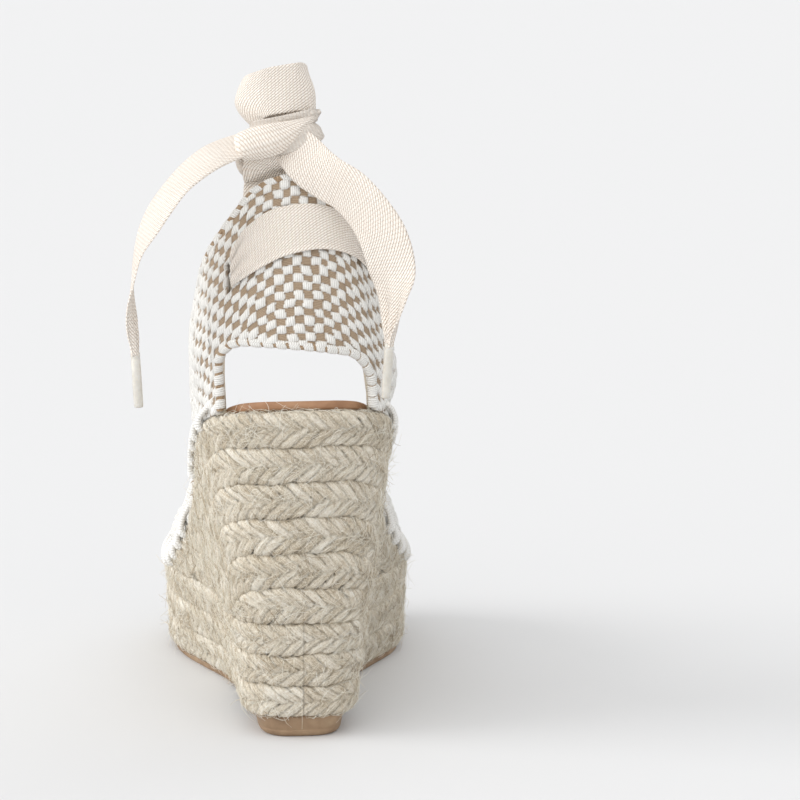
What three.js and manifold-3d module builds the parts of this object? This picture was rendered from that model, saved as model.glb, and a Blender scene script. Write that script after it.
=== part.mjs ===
// Left-foot espadrille wedge sandal: jute-braid wedge, rubber tip and tread, leather footbed,
// woven cotton vamp and heel collar, and one cream cotton ribbon tied behind the ankle.
// Millimetres, +Z up, toe towards -Y, heel towards +Y, outer (lateral) side towards +X.
import * as THREE from 'three';
import { mergeVertices } from 'three/addons/utils/BufferGeometryUtils.js';
import Module from 'manifold-3d';

const wasm = await Module();
wasm.setup();

// ---------------------------------------------------------------- driving dimensions
const GAP = 0.3;                 // clearance between touching pieces
const RING_STEPS = 72;            // stations round a braid ring
const BRAID_DEPTH = 7.0;         // how deep a jute braid sits in the wall
const BRAID_BULGE = 1.1;         // how far a braid's belly stands proud
const ROW_GAP = 0.25;            // half the gap between wrapped braids
const CORE_CLEAR = 1.0;          // room between the braids and the core
const ROW_HEIGHT = 12.6;         // one wrapped braid, square to its run
const TIP_HEIGHT = 8.0;          // rubber heel tip
const TREAD_HEIGHT = 2.8;        // rubber forefoot tread
const RING_TOP_HEEL = 42.3;      // top of the third ring at the heel
const RING_TOP_TOE = 36.0;       // and round the forefoot
const FOREFOOT_SWING = 5.0;      // forefoot's offset to the medial side
const UPPER_THICK = 2.2;         // woven cotton upper
const LINING_THICK = 0.8;
const LINING_GAP = 0.9;
const UPPER_INSET = 2.3;         // upper's middle surface inside the wedge's top edge
const FOOTBED_INSET = 6.7;
const RIBBON_WIDTH = 17.0;
const RIBBON_THICK = 0.9;
const LOOP_HEIGHT = 228.8;       // middle of the ankle loop's strip
const AGLET_RADIUS = 1.7;
const AGLET_LENGTH = 18.0;

// height of the wedge's top edge at distance s forward of the heel's back
const TOP_EDGE = [[-6, 120], [0, 119.4], [15, 116.3], [30, 110.7], [50, 100.4], [70, 87.7], [90, 74.3],
  [110, 61], [130, 48.8], [145, 41.6], [160, 37.5], [175, 36.5], [200, 36.6], [222, 38], [232, 38.8]];

// plan of the wedge as [x, s]: top outline and bottom outline, matched point by point,
// from the heel's back round the lateral side to the toe, and back along the medial side
const TOP_PLAN = [[0, 0], [14, 2], [25, 8.5], [32, 20], [34.6, 36], [35, 54], [34.8, 72], [36, 92],
  [38.6, 112], [42.2, 132], [45.2, 152], [46.6, 171], [44.8, 188], [39.5, 202], [29, 213], [12, 220.3],
  [-7, 222], [-24, 218.5], [-36, 208], [-42.5, 194], [-45.3, 178], [-45.6, 163], [-43.6, 147],
  [-40, 130], [-36.2, 112], [-33.4, 92], [-32.6, 72], [-33.4, 54], [-33.6, 36], [-31.2, 20],
  [-24.6, 8.5], [-14, 2]];
const BOTTOM_PLAN = [[0, 14], [8, 14.8], [14.5, 18], [18.6, 26], [19.7, 40], [19.8, 56], [20, 73],
  [21.2, 91], [25.5, 110], [34.5, 132], [41.8, 152], [45, 171], [43.5, 188], [38.4, 201.5], [28, 212],
  [11.6, 219], [-7, 220.6], [-23.4, 217.2], [-35, 207], [-41.3, 193.5], [-44, 178], [-44, 163],
  [-41, 147], [-33.5, 129], [-25.5, 110], [-21.3, 91], [-20, 73], [-19.8, 56], [-19.7, 40],
  [-18.6, 26], [-14.5, 18], [-8, 14.8]];

// collar: half width, plan centre and rear position by height
const COLLAR_HALF = [[60, 34], [108, 34.4], [121, 35.2], [141, 33.8], [150, 32.2], [160, 30.4], [172, 28.6], [190, 27], [205, 26]];
const COLLAR_REAR = [[60, 4], [117, 3.6], [130, 1.8], [146, 1.2], [160, 2.2], [175, 4.6], [190, 8.4], [205, 12.6]];
const COLLAR_SHIFT = [[60, 0], [112, -0.3], [123, -0.3], [141, 1.6], [157, 2.6], [190, 3], [205, 2.6]];
// collar's upper edge by distance from its back centre, measured round the plan
const COLLAR_TOP = [[-97, 88], [-91, 99.8], [-82, 116.4], [-72, 132.4], [-62, 146.4], [-52, 158.4], [-43, 168], [-35, 175.6], [-28, 183],
  [-21.6, 189.6], [-15.4, 194.8], [-8.5, 198], [0, 198.8], [6.8, 197.2], [11.6, 194.4], [14.8, 191.4], [18.5, 187.2], [23.2, 182.3],
  [27.5, 178.2], [34, 172.6], [41, 166.4], [48, 159.6], [56, 151], [64, 141.4], [72, 130.6], [82, 115.6], [91, 99.4], [97, 88]];
const COLLAR_REACH = 96;
const OPENING_TOP = 142.4;       // upper edge of the heel opening
const OPENING_TILT = 0.11;       // rise of that edge towards the lateral side, per mm
// its edge round the plan on the lateral and medial side, with the width and height of the round corner there
const OPENING_LATERAL = { side: 32, corner: [15, 13] }, OPENING_MEDIAL = { side: 28.4, corner: [11.5, 14] };

// ribbon
// heel band: distance round from the back centre, height of its middle, width
const BAND = [[-32, 167.6, 8], [-27.2, 172.5, 9.6], [-23, 176.5, 11.6], [-15, 180.9, 13.8], [-7, 182.6, 15.2], [2, 181.4, 16.6],
  [8.4, 178.5, 17.2], [15.7, 173, 15.6], [19.4, 168.8, 12.2], [23, 165, 10]];
const SLOTS = [{ l: 22.9, z: [158.8, 171] }, { l: -31.6, z: [162.6, 173.4] }];
const KNOT = { x: 5, s: 15, z: 212.4, rx: 13, rs: 6.2, rz: 7.2 };
// free ends: centre line as [x, s, z] and the turn of the flat face in degrees (0 faces the heel side)
const TAIL_LATERAL = [[19.6, 13, 210.2, 58], [30.4, 9.4, 206, 63], [39.6, 7, 199.2, 66], [46.5, 5.4, 191.2, 69],
  [52.2, 4.7, 181.8, 75], [55.4, 4.4, 174.6, 82], [57, 4.3, 167.4, 90], [58, 4.3, 157, 99], [57.4, 4.3, 147.2, 106], [57, 4.3, 139.2, 104]];
const TAIL_MEDIAL = [[-0.6, 6.6, 207.4, 10], [-4.6, 4.4, 203.2, 14], [-9.8, 1.8, 199.2, 22], [-16, -1.6, 195.4, 28], [-21.8, -4.4, 189.2, 28],
  [-27.4, -6.6, 179.9, 24], [-30.4, -7, 168.6, 28], [-30.5, -7, 160.6, 46], [-29.8, -6.6, 149.5, 66], [-29.3, -6.2, 142.2, 76]];

// ---------------------------------------------------------------- curve tools
// smooth curve through [t, value] points
function curve1(points) {
  const n = points.length;
  const slope = points.map((p, i) => {
    const a = points[Math.max(0, i - 1)], b = points[Math.min(n - 1, i + 1)];
    return (b[1] - a[1]) / (b[0] - a[0]);
  });
  return (t) => {
    if (t <= points[0][0]) return points[0][1];
    if (t >= points[n - 1][0]) return points[n - 1][1];
    let i = 0;
    while (t > points[i + 1][0]) i++;
    const h = points[i + 1][0] - points[i][0], f = (t - points[i][0]) / h;
    const f2 = f * f, f3 = f2 * f;
    return (2 * f3 - 3 * f2 + 1) * points[i][1] + (f3 - 2 * f2 + f) * h * slope[i]
      + (-2 * f3 + 3 * f2) * points[i + 1][1] + (f3 - f2) * h * slope[i + 1];
  };
}
// closed Catmull-Rom loop through [x, s] points, u in turns; the forefoot swings inwards off the heel's axis
function loop2(points) {
  const n = points.length;
  return (u) => {
    const t = ((u % 1) + 1) % 1 * n, i = Math.floor(t) % n, f = t - Math.floor(t);
    const p = (k) => points[(i + k + n) % n];
    const out = [0, 0];
    for (let c = 0; c < 2; c++) {
      const a = p(-1)[c], b = p(0)[c], d = p(1)[c], e = p(2)[c];
      out[c] = b + 0.5 * f * (d - a + f * (2 * a - 5 * b + 4 * d - e + f * (3 * (b - d) + e - a)));
    }
    out[0] -= FOREFOOT_SWING * smooth(55, 175, out[1]);
    return out;
  };
}
const smooth = (e0, e1, t) => { const f = Math.min(1, Math.max(0, (t - e0) / (e1 - e0))); return f * f * (3 - 2 * f); };
const mix = (a, b, f) => a + (b - a) * f;

// ---------------------------------------------------------------- the wedge's surface
const topEdge = curve1(TOP_EDGE);
const topPlan = loop2(TOP_PLAN), bottomPlan = loop2(BOTTOM_PLAN);
const underside = (s) => mix(TIP_HEIGHT + GAP, TREAD_HEIGHT + GAP, smooth(58, 96, s));
const ringTop = (s) => mix(RING_TOP_HEEL, RING_TOP_TOE, smooth(0, 150, s));
const ringLevel = (k, s) => mix(underside(s), ringTop(s), k / 3);
const stretch = (s) => { const d = (topEdge(s + 1) - topEdge(s - 1)) / 2; return Math.sqrt(1 + d * d); };
const rowTop = (k, s) => topEdge(s) - (9 - k) * ROW_HEIGHT * stretch(s);

// point of the wedge's wall at loop position u and height z, moved outwards by off
function wall(u, z, off = 0) {
  const at = (v) => {
    const t = topPlan(v), b = bottomPlan(v), s = t[1];
    const w = Math.min(1, Math.max(0, (z - underside(s)) / (topEdge(s) - underside(s))));
    return [mix(b[0], t[0], w), mix(b[1], t[1], w)];
  };
  const p = at(u), a = at(u - 0.004), b = at(u + 0.004);
  const dx = b[0] - a[0], ds = b[1] - a[1], len = Math.hypot(dx, ds);
  // the loop runs from the heel's back to the lateral side, so the outward normal is (ds, -dx)
  return [p[0] + off * ds / len, p[1] - off * dx / len];
}

// ---------------------------------------------------------------- mesh tools
// a closed three.js geometry whose corners are merged and then moved by fn
function mapped(geometry, fn) {
  geometry.deleteAttribute('normal');
  geometry.deleteAttribute('uv');
  const g = mergeVertices(geometry, 1e-5);
  const p = g.attributes.position;
  for (let i = 0; i < p.count; i++) {
    const q = fn(p.getX(i), p.getY(i), p.getZ(i));
    p.setXYZ(i, q[0], -q[1], q[2]);                 // s runs forwards, which is -Y
  }
  let volume = 0;
  const a = new THREE.Vector3(), b = new THREE.Vector3(), c = new THREE.Vector3();
  for (let i = 0; i < g.index.count; i += 3) {
    a.fromBufferAttribute(p, g.index.getX(i));
    b.fromBufferAttribute(p, g.index.getX(i + 1));
    c.fromBufferAttribute(p, g.index.getX(i + 2));
    volume += a.dot(b.cross(c));
  }
  if (volume < 0) for (let i = 0; i < g.index.count; i += 3) {
    const t = g.index.getX(i); g.index.setX(i, g.index.getX(i + 1)); g.index.setX(i + 1, t);
  }
  return g;
}
// box with cuts: a, b and c each run 0..1
const block = (na, nb, nc, fn) => mapped(new THREE.BoxGeometry(1, 1, 1, na, nb, nc), (x, y, z) => fn(x + 0.5, y + 0.5, z + 0.5));
// closed ring: u runs once round in turns, v once round the section in radians
const ring = (nu, nv, fn) => mapped(new THREE.TorusGeometry(1, 0.3, nv, nu), (x, y, z) =>
  fn(Math.atan2(y, x) / (2 * Math.PI), Math.atan2(z, Math.hypot(x, y) - 1)));
// sheet of the surface fn(a, b) between two distances along its normal
function sheet(na, nb, fn, inner, outer, flip = 1) {
  const e = 1e-3;
  return block(na, nb, 1, (a, b, c) => {
    const p = fn(a, b), pa = fn(Math.min(1, a + e), b), qa = fn(Math.max(0, a - e), b);
    const pb = fn(a, Math.min(1, b + e)), qb = fn(a, Math.max(0, b - e));
    const va = new THREE.Vector3(pa[0] - qa[0], pa[1] - qa[1], pa[2] - qa[2]);
    const vb = new THREE.Vector3(pb[0] - qb[0], pb[1] - qb[1], pb[2] - qb[2]);
    const n = va.cross(vb).normalize().multiplyScalar(flip * mix(inner, outer, c));
    return [p[0] + n.x, p[1] + n.y, p[2] + n.z];
  });
}
// round bar along points, as [x, s, z]
function bar(points, radius, steps, sides = 6) {
  const path = new THREE.CatmullRomCurve3(points.map((p) => new THREE.Vector3(p[0], -p[1], p[2])), false, 'centripetal');
  const section = new THREE.Shape();
  for (let i = 0; i < sides; i++) {
    const t = (i / sides) * 2 * Math.PI;
    if (i) section.lineTo(radius * Math.cos(t), radius * Math.sin(t)); else section.moveTo(radius, 0);
  }
  const g = new THREE.ExtrudeGeometry(section, { steps, bevelEnabled: false, extrudePath: path });
  g.deleteAttribute('normal'); g.deleteAttribute('uv');
  return mergeVertices(g, 1e-4);
}
const solidOf = (g) => new wasm.Manifold(new wasm.Mesh({ numProp: 3,
  vertProperties: new Float32Array(g.attributes.position.array), triVerts: new Uint32Array(g.index.array) }));
function geometryOf(solid) {
  const m = solid.getMesh(), g = new THREE.BufferGeometry();
  g.setAttribute('position', new THREE.BufferAttribute(new Float32Array(m.vertProperties), 3));
  g.setIndex(new THREE.BufferAttribute(new Uint32Array(m.triVerts), 1));
  return g;
}

// closed outline at height z (or just under the top edge), moved inwards: its x extent by station
function outline(levelOf, inset, samples = 128) {
  const points = [];
  for (let i = 0; i < samples; i++) {
    const u = i / samples;
    points.push(wall(u, levelOf(topPlan(u)[1]), -inset));
  }
  const lo = Math.min(...points.map((p) => p[1])), hi = Math.max(...points.map((p) => p[1]));
  const at = (s) => {
    const xs = [];
    for (let i = 0; i < samples; i++) {
      const a = points[i], b = points[(i + 1) % samples];
      if ((a[1] - s) * (b[1] - s) <= 0 && a[1] !== b[1]) xs.push(mix(a[0], b[0], (s - a[1]) / (b[1] - a[1])));
    }
    return xs.length < 2 ? [0, 0] : [Math.min(...xs), Math.max(...xs)];
  };
  return { lo, hi, at };
}
// layer with the wedge's plan: from station s0 to s1, between two heights given by station
function layer(plan, s0, s1, nx, ns, bottom, top, edge = 0.6) {
  const a0 = Math.max(s0, plan.lo + edge), a1 = Math.min(s1, plan.hi - edge);
  return block(nx, ns, 1, (a, b, c) => {
    // stations crowd towards round ends
    const f = 0.5 - 0.5 * Math.cos(Math.PI * b), s = mix(a0, a1, mix(b, f, 0.8));
    const [x0, x1] = plan.at(s);
    return [mix(x0, x1, a), s, mix(bottom(s), top(s), c)];
  });
}

// ---------------------------------------------------------------- materials
const finish = {
  jute: { color: 0xc3b696, roughness: 0.95, metalness: 0 },
  core: { color: 0xb08a5e, roughness: 0.9, metalness: 0 },
  rubber: { color: 0xb58f66, roughness: 0.6, metalness: 0 },
  leather: { color: 0xb98557, roughness: 0.5, metalness: 0 },
  board: { color: 0x9c7a55, roughness: 0.9, metalness: 0 },
  foam: { color: 0xe8e0cc, roughness: 0.95, metalness: 0 },
  weave: { color: 0xe2ddd2, roughness: 0.9, metalness: 0 },
  lining: { color: 0xe9e2d4, roughness: 0.9, metalness: 0 },
  thread: { color: 0xf2efe8, roughness: 0.85, metalness: 0 },
  ribbon: { color: 0xf1e6d2, roughness: 0.9, metalness: 0 },
  aglet: { color: 0xeee2cc, roughness: 0.35, metalness: 0 },
};
const group = new THREE.Group();
const inner = new THREE.Group();
group.add(inner);
function add(name, geometry, kind) {
  geometry.computeVertexNormals();
  const mesh = new THREE.Mesh(geometry, new THREE.MeshStandardMaterial(finish[kind]));
  mesh.name = name;
  inner.add(mesh);
}

// ---------------------------------------------------------------- sole unit
// rubber heel tip: a round-cornered block, wider at the top
add('heel_tip', mapped(new THREE.CylinderGeometry(1, 1, 1, 32, 1), (x, y, z) => {
  const t = Math.atan2(z, x), r = Math.hypot(x, z), f = y + 0.5;
  const c = Math.cos(t), n = Math.sin(t);
  const a = mix(14.4, 16.1, f), b = mix(19.0, 20.6, f);
  return [r * a * Math.sign(c) * Math.abs(c) ** 0.62, 37.6 + r * b * Math.sign(n) * Math.abs(n) ** 0.62, f * TIP_HEIGHT];
}), 'rubber');

const bottomInset = (inset) => outline((s) => underside(s), inset);
add('forefoot_outsole', layer(bottomInset(1.2), 100, 300, 6, 18, () => 0, () => TREAD_HEIGHT), 'rubber');
add('underside_panel', layer(bottomInset(BRAID_DEPTH + CORE_CLEAR), 0, 300, 4, 20, (s) => underside(s), (s) => underside(s) + 1.4, 1.2), 'jute');

// braids that run right round the sole
for (let k = 1; k <= 3; k++) {
  add(`braid_ring_${k}`, ring(RING_STEPS, 6, (u, v) => {
    const s = topPlan(u)[1];
    const z0 = ringLevel(k - 1, s) + (k > 1 ? GAP / 2 : 0), z1 = ringLevel(k, s) - GAP / 2;
    const c = Math.cos(v), n = Math.sin(v);
    const across = Math.sign(c) * Math.abs(c) ** 0.55, up = Math.sign(n) * Math.abs(n) ** 0.45;
    const z = mix(z0, z1, 0.5 + 0.5 * up);
    const off = across > 0 ? mix(-BRAID_DEPTH / 2, BRAID_BULGE, across) : mix(-BRAID_DEPTH / 2, -BRAID_DEPTH, -across);
    const p = wall(u, z, off);
    return [p[0], p[1], z];
  }), 'jute');
}

// braids wrapped round the heel: each keeps its height and ends where the ring below cuts it off
const rowEnd = (k, side) => {
  let u = 0;
  while (u < 0.5) {
    const s = topPlan(side * u)[1];
    if (rowTop(k, s) - ringTop(s) < 3.2) break;
    u += 0.0005;
  }
  return side * u;
};
const rowBottom = (k, s) => Math.max(rowTop(k, s) - ROW_HEIGHT * stretch(s), ringTop(s));
for (let k = 4; k <= 9; k++) {
  // stations on the same grid as the rings, so that neighbouring braids share their chords
  const u0 = rowEnd(k, 1), u1 = rowEnd(k, -1), stations = [u1];
  for (let j = -RING_STEPS; j <= RING_STEPS; j++) if (j / RING_STEPS > u1 + 0.003 && j / RING_STEPS < u0 - 0.003) stations.push(j / RING_STEPS);
  stations.push(u0);
  add(`braid_row_${k}`, block(stations.length - 1, 2, 1, (a, b, c) => {
    const u = stations[Math.round(a * (stations.length - 1))];
    const off = mix(-BRAID_DEPTH, BRAID_BULGE * (1 - (2 * b - 1) ** 2), c);
    // the height follows the station that the point itself has, so the braid's top lies with the insole
    let s = topPlan(u)[1], z = 0, p = null;
    for (let i = 0; i < 4; i++) {
      z = mix(rowBottom(k, s) + ROW_GAP, rowTop(k, s) - ROW_GAP, b);
      p = wall(u, z, off);
      s = topPlan(u)[1] + p[1] - wall(u, z, 0)[1];
    }
    return [p[0], p[1], z];
  }), 'jute');
}

// core of the wedge: fills the braids, from the underside panel to the insole
{
  const NS = 24, memo = new Map();
  const planAt = (z) => {
    const key = Math.round(z * 2);
    if (!memo.has(key)) memo.set(key, outline((s) => Math.min(key / 2, topEdge(s)), BRAID_DEPTH + CORE_CLEAR));
    return memo.get(key);
  };
  add('wedge_core', block(4, NS, 3, (a, b, c) => {
    let s = mix(24, 214, b), z = 0;
    for (let i = 0; i < 12; i++) {
      z = mix(underside(s) + 1.4 + GAP, topEdge(s) - 0.1, c);
      const plan = planAt(z);
      s = mix(plan.lo + 1.2, plan.hi - 1.2, b);
    }
    const [x0, x1] = planAt(z).at(s);
    return [mix(x0, x1, a), s, z];
  }), 'core');
}

// insole layers and leather footbed, each following the top edge
const topInset = (inset) => outline((s) => topEdge(s), inset);
add('insole_board', layer(topInset(FOOTBED_INSET + 0.8), 0, 300, 4, 26, (s) => topEdge(s) + 0.2, (s) => topEdge(s) + 1.2), 'board');
add('insole_foam', layer(topInset(FOOTBED_INSET + 0.8), 0, 300, 4, 26, (s) => topEdge(s) + 1.5, (s) => topEdge(s) + 2.4), 'foam');
add('footbed', layer(topInset(FOOTBED_INSET), 0, 300, 4, 26, (s) => topEdge(s) + 2.7, (s) => topEdge(s) + 3.9), 'leather');

// ---------------------------------------------------------------- vamp
const vampRear = (q) => mix(122, 108, Math.abs(q) ** 2.2);
const vampFront = (q) => mix(192, 207, Math.abs(q) ** 2.0);
const vampRise = curve1([[100, 47], [122, 43], [140, 39], [160, 33.5], [180, 28.5], [200, 25], [210, 23.5]]);
const vampPlan = topInset(UPPER_INSET);
function vampSurface(a, b) {
  const q = 1 - 2 * a, s = mix(vampRear(q), vampFront(q), b), t = a * Math.PI;
  const [x0, x1] = vampPlan.at(s), c = Math.cos(t), n = Math.sin(t);
  const across = Math.sign(c) * Math.abs(c) ** 0.78;
  return [mix(x0, x1, 0.5 + 0.5 * across), s, topEdge(s) + 0.5 + vampRise(s) * Math.abs(n) ** 0.82];
}
const HALF = UPPER_THICK / 2;
// the surface's own normal points into the shoe, so its thickness is laid off the other way
add('vamp', sheet(18, 8, vampSurface, -HALF, HALF, -1), 'weave');
add('vamp_lining', sheet(18, 8, vampSurface, -HALF - LINING_GAP - LINING_THICK, -HALF - LINING_GAP, -1), 'lining');

// ---------------------------------------------------------------- heel collar
const collarHalf = curve1(COLLAR_HALF), collarRear = curve1(COLLAR_REAR), collarShift = curve1(COLLAR_SHIFT);
const collarTop = curve1(COLLAR_TOP);
// base line: the wedge's top outline moved inwards, by distance from the back centre
const baseLine = (side) => {
  const table = [];
  let run = 0, last = null;
  for (let i = 0; i <= 400; i++) {
    const u = side * i / 1000, p = wall(u, topEdge(topPlan(u)[1]), -UPPER_INSET);
    if (last) run += Math.hypot(p[0] - last[0], p[1] - last[1]);
    table.push([run, p[0], p[1]]);
    last = p;
  }
  return (l) => {
    let i = 1;
    while (i < table.length - 1 && table[i][0] < l) i++;
    const a = table[i - 1], b = table[i], f = (l - a[0]) / (b[0] - a[0]);
    return [mix(a[1], b[1], f), mix(a[2], b[2], f)];
  };
};
const baseLateral = baseLine(1), baseMedial = baseLine(-1);
// plan position at signed distance l from the back centre (lateral positive) and height z
function collarPlan(l, z) {
  const side = l < 0 ? -1 : 1, d = Math.abs(l);
  const base = side > 0 ? baseLateral(d) : baseMedial(d);
  const a = collarHalf(z), b = 0.92 * a, quarter = Math.PI / 2 * Math.sqrt((a * a + b * b) / 2);
  const t = Math.min(1, d / quarter) * Math.PI / 2;
  const x = side * a * Math.sin(t) + collarShift(z), s = collarRear(z) + b * (1 - Math.cos(t)) + Math.max(0, d - quarter);
  const f = smooth(1, 26, z - topEdge(base[1]));
  return [mix(base[0], x, f), mix(base[1], s, f)];
}
const collarBottom = (l) => {
  const d = Math.abs(l), base = (l < 0 ? baseMedial : baseLateral)(d);
  const low = topEdge(base[1]) + 0.5;
  // arch of the heel opening, with round corners
  const { side, corner } = l < 0 ? OPENING_MEDIAL : OPENING_LATERAL;
  const c = Math.min(1, Math.max(0, (d - side + corner[0]) / corner[0]));
  const arch = OPENING_TOP + OPENING_TILT * l - 0.003 * l * l - corner[1] * (1 - Math.sqrt(1 - c * c));
  return d >= side + 0.9 ? low : mix(arch, low, smooth(0, 0.9, d - side));
};
// stations crowd at the opening's corners
const collarStations = (() => {
  const half = ({ side, corner }) => [7, 13, ...[0.86, 0.64, 0.46, 0.32, 0.21, 0.12, 0.05, 0].map((f) => side - f * corner[0]), side + 0.9,
    ...[35.5, 40, 45, 51, 59, 68, 77, 86, COLLAR_REACH]];
  return [...half(OPENING_MEDIAL).reverse().map((v) => -v), 0, ...half(OPENING_LATERAL)];
})();
const stationAt = (a) => {
  const t = a * (collarStations.length - 1), i = Math.min(collarStations.length - 2, Math.floor(t));
  return mix(collarStations[i], collarStations[i + 1], t - i);
};
function collarSurface(l, z) { const p = collarPlan(l, z); return [p[0], p[1], z]; }
const collarPatch = (lift, drop, reach) => (a, b) => {
  const l = stationAt(a) * reach, z0 = collarBottom(l) + lift, z1 = Math.max(z0 + 3, collarTop(l) - drop);
  return collarSurface(l, mix(z0, z1, b));
};
const slotCutter = (slot) =>
  solidOf(sheet(1, 2, (a, b) => collarSurface(slot.l - 1.4 + 2.8 * a, mix(slot.z[0], slot.z[1], b)), -6, 5));
let collar = solidOf(sheet(collarStations.length - 1, 5, collarPatch(0, 0, 1), -HALF, HALF));
let lining = solidOf(sheet(collarStations.length - 1, 5, collarPatch(0, 0, 1), -HALF - LINING_GAP - LINING_THICK, -HALF - LINING_GAP));
for (const slot of SLOTS) {
  const cut = slotCutter(slot);
  collar = collar.subtract(cut);
  lining = lining.subtract(cut);
}
add('heel_collar', geometryOf(collar), 'weave');
add('collar_lining', geometryOf(lining), 'lining');

// ---------------------------------------------------------------- bindings and stitches
const along = (n, fn) => Array.from({ length: n }, (_, i) => fn(i / (n - 1)));
const surfaceOut = (fn, l, z, off) => {
  const p = fn(l, z), a = fn(l + 0.2, z), b = fn(l - 0.2, z);
  const dx = a[0] - b[0], ds = a[1] - b[1], len = Math.hypot(dx, ds);
  return [p[0] + off * ds / len, p[1] - off * dx / len, z];
};
add('collar_topline_binding', bar(along(41, (f) => {
  const l = mix(-0.985, 0.985, f) * COLLAR_REACH;
  const slope = (collarTop(l + 0.5) - collarTop(l - 0.5));
  return collarSurface(l, collarTop(l) + 1.6 * Math.sqrt(1 + slope * slope) + 0.25);
}), 1.25, 48), 'thread');
{
  // edge of the heel opening, offset into the opening, from one leg's foot to the other's
  const edge = [];
  for (let i = 0; i <= 600; i++) {
    const l = mix(-OPENING_MEDIAL.side - 0.85, OPENING_LATERAL.side + 0.85, i / 600), e = 0.05;
    const dl = 2 * e, dz = collarBottom(l + e) - collarBottom(l - e), len = Math.hypot(dl, dz);
    const z = collarBottom(l) - 1.7 * dl / len, foot = topEdge((l < 0 ? baseMedial : baseLateral)(Math.abs(l))[1]);
    if (z > foot + 5) edge.push([l + 1.7 * dz / len, z]);
  }
  const run = [0];
  for (let i = 1; i < edge.length; i++) run.push(run[i - 1] + Math.hypot(edge[i][0] - edge[i - 1][0], edge[i][1] - edge[i - 1][1]));
  add('heel_opening_binding', bar(along(25, (f) => {
    let i = 1;
    while (i < run.length - 1 && run[i] < f * run[run.length - 1]) i++;
    return collarSurface(edge[i][0], edge[i][1]);
  }), 1.1, 36), 'thread');
}
add('throat_binding', bar(along(21, (f) => {
  const p = vampSurface(mix(0.03, 0.97, f), 0);
  return [p[0], p[1] - 2.0, p[2] + 0.4];
}), 1.2, 30), 'thread');
add('toe_binding', bar(along(21, (f) => {
  const p = vampSurface(mix(0.03, 0.97, f), 1);
  return [p[0], p[1] + 2.2, p[2]];
}), 1.2, 30), 'thread');
const stitchRun = (side, s0, s1, n) => along(n, (f) => {
  const s = mix(s0, s1, f), [x0, x1] = topInset(-0.35).at(s);
  return [side > 0 ? x1 : x0, s, topEdge(s) + 2.2];
});
add('vamp_whipstitch_lateral', bar(stitchRun(1, 112, 203, 13), 0.95, 24), 'thread');
add('vamp_whipstitch_medial', bar(stitchRun(-1, 112, 203, 13), 0.95, 24), 'thread');
add('collar_whipstitch_lateral', bar(stitchRun(1, 24, 74, 9), 0.95, 16), 'thread');
add('collar_whipstitch_medial', bar(stitchRun(-1, 24, 74, 9), 0.95, 16), 'thread');

// ---------------------------------------------------------------- ribbon held on the shoe
const bandHeight = curve1(BAND.map((p) => [p[0], p[1]])), bandWidth = curve1(BAND.map((p) => [p[0], p[2]]));
add('ribbon_heel_band', sheet(26, 2, (a, b) => {
  const l = mix(SLOTS[1].l + 0.3, SLOTS[0].l - 0.3, a);
  return collarSurface(l, bandHeight(l) + (b - 0.5) * bandWidth(l));
}, HALF + 0.4, HALF + 0.4 + RIBBON_THICK), 'ribbon');

// risers: from the slots up the inside of the collar to the knot
const riser = (side, depth, head, run) => {
  // [distance round, height] along the run inside the collar, then up to the knot
  const inside = [...run, [head.l, 197]];
  const centre = inside.map((p) => {
    const q = surfaceOut((l, z) => collarSurface(l, z), side * p[0], p[1], -(HALF + LINING_GAP + LINING_THICK + depth));
    return [q[0], q[1], p[1]];
  });
  centre.push([head.x, head.s, 203.4]);
  const path = new THREE.CatmullRomCurve3(centre.map((p) => new THREE.Vector3(...p)), false, 'centripetal');
  const widths = curve1([[0, 9], [0.25, 12.5], [0.6, 15.5], [0.85, 14], [1, 12]]);
  return block(1, 20, 1, (a, b, c) => {
    const p = path.getPoint(b), t = path.getTangent(b);
    const out = new THREE.Vector3(p.x - 2.4, p.y - 30, 0).normalize();
    if (p.z > 196) out.lerp(new THREE.Vector3(0, -1, 0), smooth(194, 201, p.z)).normalize();
    const w = new THREE.Vector3().crossVectors(t, out).normalize();
    const n = new THREE.Vector3().crossVectors(w, t).normalize();
    p.addScaledVector(w, (a - 0.5) * widths(b)).addScaledVector(n, (c - 0.5) * RIBBON_THICK);
    return [p.x, p.y, p.z];
  });
};
add('ribbon_riser_lateral', riser(1, 3.4, { l: 9, x: 9.8, s: 16.4 }, [[21.6, 164.6], [19, 172], [15.4, 180.4], [12, 188.6]]), 'ribbon');
add('ribbon_riser_medial', riser(-1, 5.2, { l: 5, x: 1.5, s: 18.6 }, [[30.2, 168.4], [25, 174.4], [18.4, 182.6], [11.4, 190.4]]), 'ribbon');

add('ribbon_knot', mapped(new THREE.IcosahedronGeometry(1, 3), (x, y, z) => {
  const e = (v) => Math.sign(v) * Math.abs(v) ** 0.86;
  return [KNOT.x + KNOT.rx * e(x), KNOT.s + KNOT.rs * e(y), KNOT.z + KNOT.rz * e(z)];
}), 'ribbon');

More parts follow.
